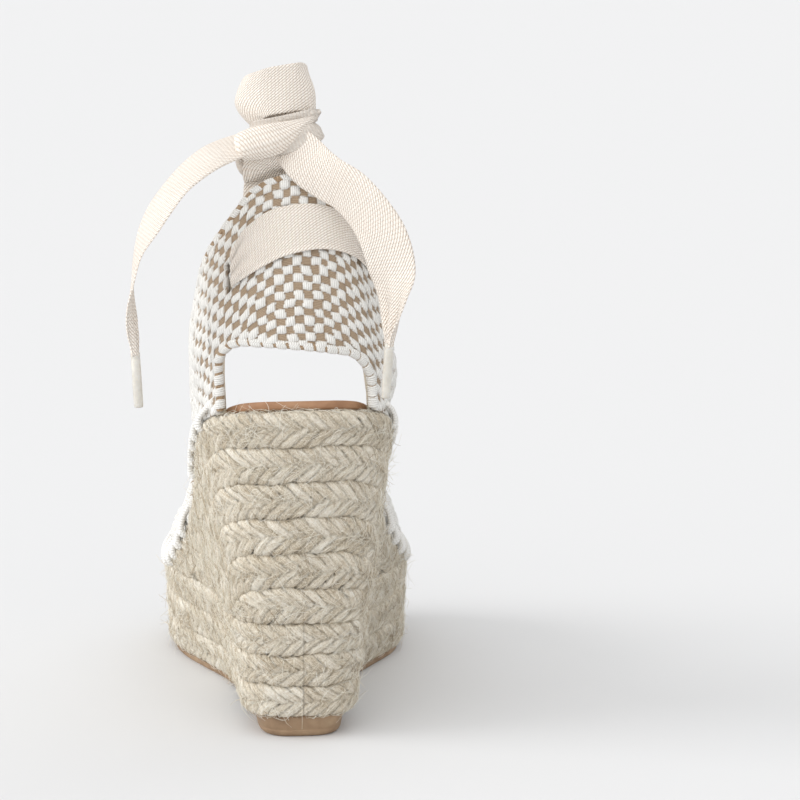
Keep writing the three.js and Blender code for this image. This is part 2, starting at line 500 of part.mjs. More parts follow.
// ankle loop: an upright strip of ribbon pressed to a long oval that leans forwards
add('ribbon_ankle_loop', ring(40, 4, (u, v) => {
  const t = u * 2 * Math.PI;
  const cx = 7, hx = 13.6, cs = 23, hs = 9;
  const x = cx - hx * Math.sign(Math.cos(t)) * Math.abs(Math.cos(t)) ** 0.8, s = cs - hs * Math.sign(Math.sin(t)) * Math.abs(Math.sin(t)) ** 0.85;
  const nx = -Math.cos(t) / hx, ns = -Math.sin(t) / hs, len = Math.hypot(nx, ns);
  const c = Math.cos(v + Math.PI / 4) * Math.SQRT2, n = Math.sin(v + Math.PI / 4) * Math.SQRT2;
  const off = Math.max(-1, Math.min(1, c)) * RIBBON_THICK / 2, up = Math.max(-1, Math.min(1, n)) * RIBBON_WIDTH / 2;
  return [x + off * nx / len, s + off * ns / len, LOOP_HEIGHT + up - 0.3 * (s - 14) - 0.13 * (x - 5.3)];
}), 'ribbon');

// free ends of the ribbon: flat strips that turn edge-on and gather into their aglets
function tail(points) {
  const path = new THREE.CatmullRomCurve3(points.map((p) => new THREE.Vector3(p[0], p[1], p[2])), false, 'centripetal');
  const turn = curve1(points.map((p, i) => [i / (points.length - 1), p[3]]));
  const width = curve1([[0, 12], [0.12, 15.5], [0.3, RIBBON_WIDTH], [0.72, RIBBON_WIDTH], [0.86, 12], [0.95, 5], [1, 3.2]]);
  const thick = curve1([[0, RIBBON_THICK], [0.8, RIBBON_THICK], [0.92, 1.6], [1, 2.6]]);
  const strip = block(1, 30, 1, (a, b, c) => {
    const p = path.getPoint(b), t = path.getTangent(b);
    const back = new THREE.Vector3(0, -1, 0);
    const side = new THREE.Vector3().crossVectors(t, back).normalize();
    const face = new THREE.Vector3().crossVectors(side, t).normalize();
    const r = THREE.MathUtils.degToRad(turn(b));
    const w = side.clone().multiplyScalar(Math.cos(r)).addScaledVector(face, Math.sin(r));
    const n = new THREE.Vector3().crossVectors(w, t).normalize();
    p.addScaledVector(w, (a - 0.5) * width(b)).addScaledVector(n, (c - 0.5) * thick(b));
    return [p.x, p.y, p.z];
  });
  const end = path.getPoint(1), dir = path.getTangent(1);
  const from = end.clone().addScaledVector(dir, GAP), to = end.clone().addScaledVector(dir, GAP + AGLET_LENGTH);
  const aglet = bar([[from.x, from.y, from.z], [(from.x + to.x) / 2, (from.y + to.y) / 2, (from.z + to.z) / 2], [to.x, to.y, to.z]], AGLET_RADIUS, 2, 12);
  return { strip, aglet };
}
const lateral = tail(TAIL_LATERAL), medial = tail(TAIL_MEDIAL);
add('ribbon_tail_lateral', lateral.strip, 'ribbon');
add('aglet_lateral', lateral.aglet, 'aglet');
add('ribbon_tail_medial', medial.strip, 'ribbon');
add('aglet_medial', medial.aglet, 'aglet');

// ---------------------------------------------------------------- origin: middle of the footprint box, on the ground
{
  const free = new Set(['ribbon_tail_lateral', 'ribbon_tail_medial', 'aglet_lateral', 'aglet_medial']);
  const box = new THREE.Box3();
  for (const m of inner.children) {
    if (free.has(m.name)) continue;
    m.geometry.computeBoundingBox();
    box.union(m.geometry.boundingBox);
  }
  inner.position.set(-(box.min.x + box.max.x) / 2, -(box.min.y + box.max.y) / 2, -box.min.z);
}

export default group;
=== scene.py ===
import math

import bpy
import numpy as np
from mathutils import Matrix, Vector

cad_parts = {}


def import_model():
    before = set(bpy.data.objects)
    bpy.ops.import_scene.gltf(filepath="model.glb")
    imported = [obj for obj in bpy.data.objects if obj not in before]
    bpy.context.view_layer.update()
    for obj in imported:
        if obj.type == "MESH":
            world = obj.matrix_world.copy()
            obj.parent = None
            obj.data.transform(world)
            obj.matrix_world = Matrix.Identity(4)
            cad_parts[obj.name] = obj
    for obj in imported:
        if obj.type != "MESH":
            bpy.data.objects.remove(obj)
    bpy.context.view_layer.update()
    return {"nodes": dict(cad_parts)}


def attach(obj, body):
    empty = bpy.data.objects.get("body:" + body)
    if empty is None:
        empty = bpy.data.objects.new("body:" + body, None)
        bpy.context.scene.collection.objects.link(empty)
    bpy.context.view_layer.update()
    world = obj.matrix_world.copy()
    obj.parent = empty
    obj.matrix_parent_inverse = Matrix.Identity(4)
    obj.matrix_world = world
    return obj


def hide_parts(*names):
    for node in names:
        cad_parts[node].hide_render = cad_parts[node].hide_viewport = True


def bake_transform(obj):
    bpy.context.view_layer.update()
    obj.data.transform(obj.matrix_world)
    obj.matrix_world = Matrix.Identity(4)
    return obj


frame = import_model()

SHIFT_X, SHIFT_Y = 4.553915, 111.239118          # sole-unit coordinates (x, s, z) to the row frame, mm

# ------------------------------------------------------------------ camera
AZIMUTH, ELEVATION, ROLL, FOCAL_PX = 174.5, 8.9, -0.3, 3698.0
CAMERA_AT = (91.55, 1362.74, 319.6)
_a, _e, _r = (math.radians(v) for v in (AZIMUTH, ELEVATION, ROLL))
back = Vector((math.sin(_a) * math.cos(_e), -math.cos(_a) * math.cos(_e), math.sin(_e)))
right = Vector((0, 0, 1)).cross(back).normalized()
up = back.cross(right)
right, up = right * math.cos(_r) + up * math.sin(_r), up * math.cos(_r) - right * math.sin(_r)
cam = bpy.data.objects.new("camera", bpy.data.cameras.new("camera"))
bpy.context.scene.collection.objects.link(cam)
cam.matrix_world = Matrix.Translation(Vector(CAMERA_AT) * 0.001) @ Matrix((right, up, back)).transposed().to_4x4()
cam.data.sensor_width = 36.0
cam.data.lens = FOCAL_PX / 800 * 36.0
cam.data.clip_end = 200
bpy.context.scene.camera = cam

# ------------------------------------------------------------------ sizes shared with the frame's source
GAP, BRAID_DEPTH, ROW_HEIGHT, TIP_HEIGHT, TREAD_HEIGHT = 0.3, 7.0, 12.6, 8.0, 2.8
RING_TOP_HEEL, RING_TOP_TOE, FOREFOOT_SWING = 42.3, 36.0, 5.0
UPPER_INSET, FOOTBED_INSET = 2.3, 6.7
TOP_EDGE = [[-6, 120], [0, 119.4], [15, 116.3], [30, 110.7], [50, 100.4], [70, 87.7], [90, 74.3],
            [110, 61], [130, 48.8], [145, 41.6], [160, 37.5], [175, 36.5], [200, 36.6], [222, 38], [232, 38.8]]
TOP_PLAN = [[0, 0], [14, 2], [25, 8.5], [32, 20], [34.6, 36], [35, 54], [34.8, 72], [36, 92],
            [38.6, 112], [42.2, 132], [45.2, 152], [46.6, 171], [44.8, 188], [39.5, 202], [29, 213], [12, 220.3],
            [-7, 222], [-24, 218.5], [-36, 208], [-42.5, 194], [-45.3, 178], [-45.6, 163], [-43.6, 147],
            [-40, 130], [-36.2, 112], [-33.4, 92], [-32.6, 72], [-33.4, 54], [-33.6, 36], [-31.2, 20],
            [-24.6, 8.5], [-14, 2]]
BOTTOM_PLAN = [[0, 14], [8, 14.8], [14.5, 18], [18.6, 26], [19.7, 40], [19.8, 56], [20, 73],
               [21.2, 91], [25.5, 110], [34.5, 132], [41.8, 152], [45, 171], [43.5, 188], [38.4, 201.5], [28, 212],
               [11.6, 219], [-7, 220.6], [-23.4, 217.2], [-35, 207], [-41.3, 193.5], [-44, 178], [-44, 163],
               [-41, 147], [-33.5, 129], [-25.5, 110], [-21.3, 91], [-20, 73], [-19.8, 56], [-19.7, 40],
               [-18.6, 26], [-14.5, 18], [-8, 14.8]]
COLLAR_HALF = [[60, 34], [108, 34.4], [121, 35.2], [141, 33.8], [150, 32.2], [160, 30.4], [172, 28.6], [190, 27], [205, 26]]
COLLAR_REAR = [[60, 4], [117, 3.6], [130, 1.8], [146, 1.2], [160, 2.2], [175, 4.6], [190, 8.4], [205, 12.6]]
COLLAR_SHIFT = [[60, 0], [112, -0.3], [123, -0.3], [141, 1.6], [157, 2.6], [190, 3], [205, 2.6]]
COLLAR_TOP = [[-97, 88], [-91, 99.8], [-82, 116.4], [-72, 132.4], [-62, 146.4], [-52, 158.4], [-43, 168], [-35, 175.6], [-28, 183],
              [-21.6, 189.6], [-15.4, 194.8], [-8.5, 198], [0, 198.8], [6.8, 197.2], [11.6, 194.4], [14.8, 191.4], [18.5, 187.2], [23.2, 182.3],
              [27.5, 178.2], [34, 172.6], [41, 166.4], [48, 159.6], [56, 151], [64, 141.4], [72, 130.6], [82, 115.6], [91, 99.4], [97, 88]]
COLLAR_REACH, OPENING_TOP, OPENING_TILT = 96.0, 142.4, 0.11
OPENING_LATERAL, OPENING_MEDIAL = (32.0, 15.0, 13.0), (28.4, 11.5, 14.0)   # edge, corner's width and height
BAND = [[-32, 167.6, 8], [-27.2, 172.5, 9.6], [-23, 176.5, 11.6], [-15, 180.9, 13.8], [-7, 182.6, 15.2], [2, 181.4, 16.6],
        [8.4, 178.5, 17.2], [15.7, 173, 15.6], [19.4, 168.8, 12.2], [23, 165, 10]]
SLOTS = ((22.9, 158.8, 171.0), (-31.6, 162.6, 173.4))        # distance round, lower and upper end
RIBBON_WIDTH = 17.0
TAIL_LATERAL = [[19.6, 13, 210.2, 58], [30.4, 9.4, 206, 63], [39.6, 7, 199.2, 66], [46.5, 5.4, 191.2, 69],
                [52.2, 4.7, 181.8, 75], [55.4, 4.4, 174.6, 82], [57, 4.3, 167.4, 90], [58, 4.3, 157, 99],
                [57.4, 4.3, 147.2, 106], [57, 4.3, 139.2, 104]]
TAIL_MEDIAL = [[-0.2, 8.6, 207.6, 6], [-4.4, 5.0, 203.2, 12], [-9.8, 1.8, 199.2, 22], [-16, -1.6, 195.4, 28],
               [-21.8, -4.4, 189.2, 28], [-27.4, -6.6, 179.9, 24], [-30.4, -7, 168.6, 28], [-30.5, -7, 160.6, 46],
               [-29.8, -6.6, 149.5, 66], [-29.3, -6.2, 142.2, 76]]


# ------------------------------------------------------------------ curve tools
def mix(a, b, f):
    return a + (b - a) * f


def smooth(e0, e1, t):
    f = np.clip((np.asarray(t, float) - e0) / (e1 - e0), 0, 1)
    return f * f * (3 - 2 * f)


def curve1(points):
    t, v = np.array([p[0] for p in points], float), np.array([p[1] for p in points], float)
    n = len(t)
    lo, hi = np.maximum(np.arange(n) - 1, 0), np.minimum(np.arange(n) + 1, n - 1)
    m = (v[hi] - v[lo]) / (t[hi] - t[lo])

    def f(x):
        x = np.clip(np.asarray(x, float), t[0], t[-1])
        i = np.clip(np.searchsorted(t, x, side="right") - 1, 0, n - 2)
        h = t[i + 1] - t[i]
        g = (x - t[i]) / h
        g2, g3 = g * g, g * g * g
        return (2 * g3 - 3 * g2 + 1) * v[i] + (g3 - 2 * g2 + g) * h * m[i] + (-2 * g3 + 3 * g2) * v[i + 1] + (g3 - g2) * h * m[i + 1]
    return f


def loop2(points):
    P = np.array(points, float)
    n = len(P)

    def f(u):
        t = np.mod(np.asarray(u, float), 1.0) * n
        i = np.floor(t).astype(int) % n
        g = (t - np.floor(t))[..., None]
        a, b, d, e = P[(i - 1) % n], P[i], P[(i + 1) % n], P[(i + 2) % n]
        o = b + 0.5 * g * (d - a + g * (2 * a - 5 * b + 4 * d - e + g * (3 * (b - d) + e - a)))
        o[..., 0] -= FOREFOOT_SWING * smooth(55, 175, o[..., 1])
        return o
    return f


def centripetal(points, t):
    P = np.asarray(points, float)
    n = len(P)
    p = np.clip(np.asarray(t, float), 0, 1) * (n - 1)
    i = np.minimum(p.astype(int), n - 2)
    w = (p - i)[:, None]
    Q = np.vstack([2 * P[0] - P[1], P, 2 * P[-1] - P[-2]])
    p0, p1, p2, p3 = Q[i], Q[i + 1], Q[i + 2], Q[i + 3]
    d = lambda a, b: np.maximum(((a - b) ** 2).sum(1) ** 0.25, 1e-4)[:, None]
    t0, t1, t2 = d(p0, p1), d(p1, p2), d(p2, p3)
    m1 = ((p1 - p0) / t0 - (p2 - p0) / (t0 + t1) + (p2 - p1) / t1) * t1
    m2 = ((p2 - p1) / t1 - (p3 - p1) / (t1 + t2) + (p3 - p2) / t2) * t1
    w2, w3 = w * w, w * w * w
    return p1 * (2 * w3 - 3 * w2 + 1) + m1 * (w3 - 2 * w2 + w) + p2 * (-2 * w3 + 3 * w2) + m2 * (w3 - w2)


def unit(v):
    return v / np.maximum(np.linalg.norm(v, axis=-1, keepdims=True), 1e-12)


def run_of(P, closed=False):
    """Distance along a line of points."""
    step = np.linalg.norm(np.diff(P, axis=0), axis=1)
    return np.concatenate([[0], np.cumsum(step)])


def rnd(*keys):
    v = 0.0
    for i, k in enumerate(keys):
        v = v + np.asarray(k, float) * (12.9898, 78.233, 37.719, 93.989)[i]
    v = np.sin(v) * 43758.5453
    return v - np.floor(v)


def wander(x, seed, waves=5, longest=40.0):
    """Smooth uneven line through 0, about -1 to 1."""
    out = 0.0
    for i in range(waves):
        out = out + np.sin(2 * np.pi * (x / (longest / 1.7 ** i) + rnd(seed, i))) * 0.62 ** i
    return out / 2.0


top_edge = curve1(TOP_EDGE)
top_plan, bottom_plan = loop2(TOP_PLAN), loop2(BOTTOM_PLAN)
underside = lambda s: mix(TIP_HEIGHT + GAP, TREAD_HEIGHT + GAP, smooth(58, 96, s))
ring_top = lambda s: mix(RING_TOP_HEEL, RING_TOP_TOE, smooth(0, 150, s))
ring_level = lambda k, s: mix(underside(s), ring_top(s), k / 3)


def stretch(s):
    d = (top_edge(s + 1) - top_edge(s - 1)) / 2
    return np.sqrt(1 + d * d)


row_top = lambda k, s: top_edge(s) - (9 - k) * ROW_HEIGHT * stretch(s)


def wall(u, z, off=0.0):
    """Point of the wedge's wall at loop position u and height z, moved outwards by off."""
    def at(v):
        t, b = top_plan(v), bottom_plan(v)
        s = t[..., 1]
        w = np.clip((z - underside(s)) / (top_edge(s) - underside(s)), 0, 1)
        return np.stack([mix(b[..., 0], t[..., 0], w), mix(b[..., 1], t[..., 1], w)], -1)
    p, a, b = at(u), at(u - 0.004), at(u + 0.004)
    d = unit(b - a)
    return np.stack([p[..., 0] + off * d[..., 1], p[..., 1] - off * d[..., 0]], -1)


def outline(level, inset, samples=256):
    """x extent by station of the closed outline at a height, moved inwards."""
    u = np.arange(samples) / samples
    P = wall(u, level(top_plan(u)[:, 1]), -inset)
    Q = np.roll(P, -1, axis=0)
    lo, hi = P[:, 1].min(), P[:, 1].max()
    S = np.linspace(lo + 0.05, hi - 0.05, 600)
    X0, X1 = [], []
    for s in S:
        hit = ((P[:, 1] - s) * (Q[:, 1] - s) <= 0) & (P[:, 1] != Q[:, 1])
        x = mix(P[hit, 0], Q[hit, 0], (s - P[hit, 1]) / (Q[hit, 1] - P[hit, 1]))
        X0.append(x.min())
        X1.append(x.max())
    X0, X1 = np.array(X0), np.array(X1)
    return lo, hi, (lambda s: np.interp(s, S, X0)), (lambda s: np.interp(s, S, X1))


# ------------------------------------------------------------------ mesh tools
def world(P):
    P = np.asarray(P, float)
    return np.stack([P[..., 0] + SHIFT_X, SHIFT_Y - P[..., 1], P[..., 2]], -1) * 0.001


def make(name, P, faces, material, body="shoe", slot=None, attrs=None, nodes=(), flat=False):
    """A closed mesh from points in sole-unit millimetres and faces of any corner count."""
    V = world(np.asarray(P, float).reshape(-1, 3))
    faces = [np.asarray(f, np.int64).reshape(-1, np.shape(f)[-1]) for f in faces if len(f)]
    volume = 0.0
    for f in faces:
        a = V[f[:, 0]]
        for i in range(1, f.shape[1] - 1):
            volume += np.einsum("ij,ij->", a, np.cross(V[f[:, i]], V[f[:, i + 1]]))
    if volume < 0:
        faces = [f[:, ::-1] for f in faces]
    loops = np.concatenate([f.ravel() for f in faces]).astype(np.int32)
    sizes = np.concatenate([np.full(len(f), f.shape[1]) for f in faces])
    starts = np.concatenate([[0], np.cumsum(sizes)[:-1]]).astype(np.int32)
    me = bpy.data.meshes.new(name)
    me.vertices.add(len(V))
    me.vertices.foreach_set("co", V.astype(np.float32).ravel())
    me.loops.add(len(loops))
    me.loops.foreach_set("vertex_index", loops)
    me.polygons.add(len(sizes))
    me.polygons.foreach_set("loop_start", starts)
    me.polygons.foreach_set("use_smooth", np.full(len(sizes), not flat))
    me.update(calc_edges=True)
    for key, value in (attrs or {}).items():
        a = me.attributes.new(key, "FLOAT", "POINT")
        a.data.foreach_set("value", np.asarray(value, np.float32).ravel())
    me.materials.append(material)
    ob = bpy.data.objects.new(name + "_made" if name in frame["nodes"] else name, me)
    bpy.context.scene.collection.objects.link(ob)
    if body:
        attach(ob, body)
    if nodes:
        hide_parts(*nodes)
    return ob


def tube_faces(n, m, closed=False, base=0):
    """Faces of n sections of m points each; the ends are capped unless the tube closes on itself."""
    I, J = np.meshgrid(np.arange(n if closed else n - 1), np.arange(m), indexing="ij")
    K, L = (I + 1) % n, (J + 1) % m
    quads = np.stack([I * m + J, I * m + L, K * m + L, K * m + J], -1).reshape(-1, 4) + base
    if closed:
        return [quads]
    return [quads, np.arange(m)[::-1][None] + base, ((n - 1) * m + np.arange(m))[None] + base]


class Parts:
    """Several closed bodies gathered into one mesh."""

    def __init__(self):
        self.P, self.F, self.A, self.n = [], {}, {}, 0

    def add(self, P, faces, attrs):
        P = np.asarray(P, float).reshape(-1, 3)
        vol = 0.0
        for f in faces:
            a = P[f[:, 0]]
            for i in range(1, f.shape[1] - 1):
                vol += np.einsum("ij,ij->", a, np.cross(P[f[:, i]], P[f[:, i + 1]]))
        for f in faces:
            f = f if vol > 0 else f[:, ::-1]
            self.F.setdefault(f.shape[1], []).append(f + self.n)
        for k, v in attrs.items():
            self.A.setdefault(k, []).append(np.broadcast_to(np.asarray(v, float), (len(P),)) if np.ndim(v) == 0 else np.asarray(v, float).ravel())
        self.P.append(P)
        self.n += len(P)

    def make(self, name, material, **more):
        faces = [np.concatenate(v) for v in self.F.values()]
        return make(name, np.concatenate(self.P), faces, material, attrs={k: np.concatenate(v) for k, v in self.A.items()}, **more)


def cloth(P, thick, closed=False, edge=0.55, along=None, across=None):
    """Closed strip about a grid of middle points (n, m, 3): faces, points and distances along and across."""
    n, m = P.shape[:2]
    if closed:
        da = np.roll(P, -1, axis=0) - np.roll(P, 1, axis=0)
    else:
        da = np.gradient(P, axis=0)
    db = np.gradient(P, axis=1)
    N = unit(np.cross(da, db))
    th = np.broadcast_to(np.asarray(thick, float).reshape(-1, 1) if np.ndim(thick) else thick, (n, m)).copy()
    th[:, 0] *= edge
    th[:, -1] *= edge
    if not closed:
        th[0] *= edge
        th[-1] *= edge
    top, bottom = P + N * th[..., None] / 2, P - N * th[..., None] / 2
    ring = np.concatenate([top, bottom[:, ::-1]], axis=1)          # each section is one closed ring of 2m points
    faces = tube_faces(n, 2 * m, closed)
    if not closed:                                                  # caps as quads between the two sides
        faces = faces[:1]
        for i in (0, n - 1):
            j = np.arange(m - 1)
            faces.append(np.stack([i * 2 * m + j, i * 2 * m + j + 1, i * 2 * m + 2 * m - 2 - j, i * 2 * m + 2 * m - 1 - j], -1)[:, ::(1 if i else -1)])
    mid = P[:, m // 2]
    ra = run_of(mid) if along is None else along
    rc = np.concatenate([np.zeros((n, 1)), np.cumsum(np.linalg.norm(np.diff(P, axis=1), axis=2), axis=1)], axis=1)
    rc -= rc[:, -1:] / 2
    if across is not None:
        rc = np.broadcast_to(across, (n, m))
    RA = np.broadcast_to(np.asarray(ra)[:, None] if np.ndim(ra) == 1 else ra, (n, m))
    return ring.reshape(-1, 3), faces, {"ra": np.concatenate([RA, RA[:, ::-1]], 1), "rc": np.concatenate([rc, rc[:, ::-1]], 1)}


def hose(C, radius, sides=12, ry=None, out=None):
    """Closed tube along points C; radius may change along and round it (n, sides)."""
    n = len(C)
    T = unit(np.gradient(C, axis=0))
    if out is None:
        ref = np.array([0.3, 0.2, 1.0]) if abs(T[:, 2]).mean() < 0.8 else np.array([1.0, 0.2, 0.0])
        out = np.broadcast_to(ref, (n, 3))
    O = unit(out - (out * T).sum(1, keepdims=True) * T)
    U = np.cross(T, O)
    phi = np.arange(sides) / sides * 2 * np.pi
    rx = np.broadcast_to(np.asarray(radius, float).reshape(n, -1) if np.ndim(radius) else radius, (n, sides))
    ryy = rx if ry is None else np.broadcast_to(np.asarray(ry, float).reshape(n, -1) if np.ndim(ry) else ry, (n, sides))
    P = C[:, None] + O[:, None] * (rx * np.cos(phi))[..., None] + U[:, None] * (ryy * np.sin(phi))[..., None]
    ta = np.broadcast_to(run_of(C)[:, None], (n, sides))
    tc = np.broadcast_to(phi / (2 * np.pi), (n, sides))
    return P.reshape(-1, 3), tube_faces(n, sides), ta, tc


# ------------------------------------------------------------------ materials
class Paint:
    """A Principled material with short helpers for its nodes."""

    def __init__(self, name, roughness, **sockets):
        self.m = bpy.data.materials.new(name)
        self.m.use_nodes = True
        self.t = self.m.node_tree
        self.b = next(n for n in self.t.nodes if n.type == "BSDF_PRINCIPLED")
        self.b.inputs["Roughness"].default_value = roughness
        for k, v in sockets.items():
            self.b.inputs[k.replace("_", " ")].default_value = v

    def node(self, kind, **props):
        n = self.t.nodes.new("ShaderNode" + kind)
        for k, v in props.items():
            setattr(n, k, v)
        return n

    def put(self, socket, value):
        if hasattr(value, "is_output"):
            self.t.links.new(value, socket)
        else:
            socket.default_value = value

    def attr(self, name):
        return self.node("Attribute", attribute_name=name).outputs["Fac"]

    def math(self, op, a, b=0.0, c=0.0, clamp=False):
        n = self.node("Math", operation=op, use_clamp=clamp)
        for s, v in zip(n.inputs, (a, b, c)):
            self.put(s, v)
        return n.outputs[0]

    def xyz(self, x=0.0, y=0.0, z=0.0):
        n = self.node("CombineXYZ")
        for s, v in zip(n.inputs, (x, y, z)):
            self.put(s, v)
        return n.outputs[0]

    def place(self):
        return self.node("TexCoord").outputs["Object"]

    def noise(self, where, scale, detail=3.0, rough=0.55, distort=0.0):
        n = self.node("TexNoise")
        self.put(n.inputs["Vector"], where)
        n.inputs["Scale"].default_value = scale
        n.inputs["Detail"].default_value = detail
        n.inputs["Roughness"].default_value = rough
        n.inputs["Distortion"].default_value = distort
        return n.outputs["Fac"]

    def ramp(self, fac, stops):
        n = self.node("ValToRGB")
        self.put(n.inputs["Fac"], fac)
        e = n.color_ramp.elements
        while len(e) < len(stops):
            e.new(0.5)
        for i, (at, colour) in enumerate(stops):
            e[i].position = at
            e[i].color = (*colour, 1) if len(colour) == 3 else colour
        return n.outputs["Color"]

    def blend(self, fac, a, b, kind="MIX"):
        n = self.node("Mix", data_type="RGBA", blend_type=kind)
        self.put(n.inputs["Factor"], fac)
        self.put(n.inputs["A"] if False else n.inputs[6], a if hasattr(a, "is_output") else (*a, 1))
        self.put(n.inputs[7], b if hasattr(b, "is_output") else (*b, 1))
        return n.outputs[2]

    def colour(self, c):
        self.put(self.b.inputs["Base Color"], c if hasattr(c, "is_output") else (*c, 1))

    def bump(self, height, distance, strength=1.0, onto=None):
        n = self.node("Bump")
        n.inputs["Strength"].default_value = strength
        n.inputs["Distance"].default_value = distance
        self.put(n.inputs["Height"], height)
        if onto is not None:
            self.t.links.new(onto, n.inputs["Normal"])
        self.t.links.new(n.outputs["Normal"], self.b.inputs["Normal"])
        return n.outputs["Normal"]

    def rough(self, value):
        self.put(self.b.inputs["Roughness"], value)


def jute_paint():
    p = Paint("jute", 0.92, Specular_IOR_Level=0.18)
    sa, sc, sid, cav = p.attr("sa"), p.attr("sc"), p.attr("sid"), p.attr("cav")
    lines = p.noise(p.xyz(p.math("MULTIPLY", sa, 0.16), p.math("MULTIPLY", sc, 2.6), p.math("MULTIPLY", sid, 37.0)), 1.0, 4.0, 0.62, 0.25)
    thin = p.noise(p.xyz(p.math("MULTIPLY", sa, 0.4), p.math("MULTIPLY", sc, 7.0), p.math("MULTIPLY", sid, 11.0)), 1.0, 2.0, 0.5)
    patch = p.noise(p.place(), 55.0, 3.0, 0.6)
    speck = p.noise(p.place(), 1500.0, 2.0, 0.7, 0.6)
    tone = p.math("ADD", p.math("MULTIPLY", lines, 0.50), p.math("MULTIPLY", thin, 0.28))
    tone = p.math("ADD", tone, p.math("MULTIPLY", p.math("SUBTRACT", speck, 0.42), 0.55))
    tone = p.math("ADD", tone, p.math("MULTIPLY", p.math("SUBTRACT", sid, 0.5), 0.16))
    tone = p.math("ADD", tone, p.math("MULTIPLY", p.math("SUBTRACT", patch, 0.5), 0.30))
    base = p.ramp(tone, [(0.20, (0.36, 0.285, 0.19)), (0.34, (0.60, 0.52, 0.40)), (0.48, (0.80, 0.735, 0.62)), (0.66, (0.94, 0.91, 0.83))])
    # painted shade: cav darkens the jute towards a dark brown in the hollows between plait strands and in the gutters
    # between rows
    jute_with_shade = p.blend(p.math("POWER", cav, 1.3), base, (0.15, 0.105, 0.062))
    p.colour(jute_with_shade)
    p.bump(p.math("ADD", p.math("MULTIPLY", lines, 0.7), p.math("MULTIPLY", thin, 0.5)), 0.0007, 1.0)
    return p.m


def fibre_paint():
    p = Paint("jute_fibre", 0.8, Specular_IOR_Level=0.25)
    p.colour(p.ramp(p.attr("sid"), [(0.0, (0.36, 0.27, 0.17)), (0.14, (0.62, 0.52, 0.38)), (0.3, (0.84, 0.78, 0.65)), (1.0, (0.95, 0.925, 0.85))]))
    return p.m


def weave_paint():
    p = Paint("weave", 0.9, Specular_IOR_Level=0.15, Sheen_Weight=0.15, Sheen_Roughness=0.6)
    wc, wr, white, cav = p.attr("wc"), p.attr("wr"), p.attr("white"), p.attr("cav")
    wob = p.math("MULTIPLY", p.math("SUBTRACT", p.noise(p.xyz(wc, wr, 0.0), 0.45, 2.0), 0.5), 0.5)
    strand = p.math("FRACT", p.math("MULTIPLY", p.math("ADD", wc, wob), 1 / 0.70))
    strand = p.math("SUBTRACT", strand, 0.5)
    ridge = p.math("SUBTRACT", 1.0, p.math("MULTIPLY", p.math("MULTIPLY", strand, strand), 4.0))          # 1 in the middle of a strand
    ply = p.noise(p.xyz(p.math("MULTIPLY", wc, 2.6), p.math("MULTIPLY", wr, 1.1), 0.0), 1.6, 3.0, 0.6)
    bandy = p.math("SUBTRACT", p.math("FRACT", p.math("MULTIPLY", p.math("ADD", wr, wob), 1 / 0.55)), 0.5)
    weft = p.math("SUBTRACT", 1.0, p.math("MULTIPLY", p.math("MULTIPLY", bandy, bandy), 4.0))
    cotton = p.ramp(p.math("ADD", p.math("MULTIPLY", p.math("POWER", ridge, 0.6), 0.55), p.math("MULTIPLY", ply, 0.45)),
                    [(0.12, (0.60, 0.56, 0.49)), (0.42, (0.82, 0.80, 0.755)), (0.75, (0.90, 0.89, 0.86))])
    tan = p.ramp(p.math("ADD", p.math("MULTIPLY", weft, 0.4), p.math("MULTIPLY", ply, 0.7)),
                 [(0.2, (0.215, 0.145, 0.09)), (0.5, (0.355, 0.26, 0.175)), (0.85, (0.49, 0.375, 0.265))])
    body = p.blend(white, tan, cotton)
    # painted shade: the weave darkens towards a dark brown where floats dip under their neighbours and round the ribbon
    # slots
    body = p.blend(p.math("MULTIPLY", cav, 0.72), body, (0.16, 0.11, 0.068))
    p.colour(body)
    high = p.math("ADD", p.math("MULTIPLY", p.math("MULTIPLY", ridge, white), 1.0),
                  p.math("MULTIPLY", p.math("MULTIPLY", weft, p.math("SUBTRACT", 1.0, white)), 0.5))
    p.bump(p.math("ADD", high, p.math("MULTIPLY", ply, 0.5)), 0.00028, 0.85)
    return p.m


def thread_paint(name, pitch):
    p = Paint(name, 0.88, Specular_IOR_Level=0.15, Sheen_Weight=0.15, Sheen_Roughness=0.6)
    ta, tc, white = p.attr("ta"), p.attr("tc"), p.attr("white")
    slant = p.math("ADD", ta, p.math("MULTIPLY", tc, pitch * 0.8))
    f = p.math("SUBTRACT", p.math("FRACT", p.math("MULTIPLY", slant, 1 / pitch)), 0.5)
    ridge = p.math("SUBTRACT", 1.0, p.math("MULTIPLY", p.math("MULTIPLY", f, f), 4.0))
    ply = p.noise(p.place(), 1500.0, 2.0, 0.6)
    cotton = p.ramp(p.math("ADD", p.math("MULTIPLY", p.math("POWER", ridge, 0.6), 0.55), p.math("MULTIPLY", ply, 0.45)),
                    [(0.12, (0.58, 0.54, 0.47)), (0.42, (0.82, 0.80, 0.755)), (0.75, (0.90, 0.89, 0.86))])
    tan = p.ramp(ply, [(0.3, (0.28, 0.18, 0.10)), (0.7, (0.52, 0.38, 0.25))])
    p.colour(p.blend(white, tan, cotton))
    p.bump(p.math("ADD", ridge, p.math("MULTIPLY", ply, 0.4)), 0.0003, 0.85)
    return p.m


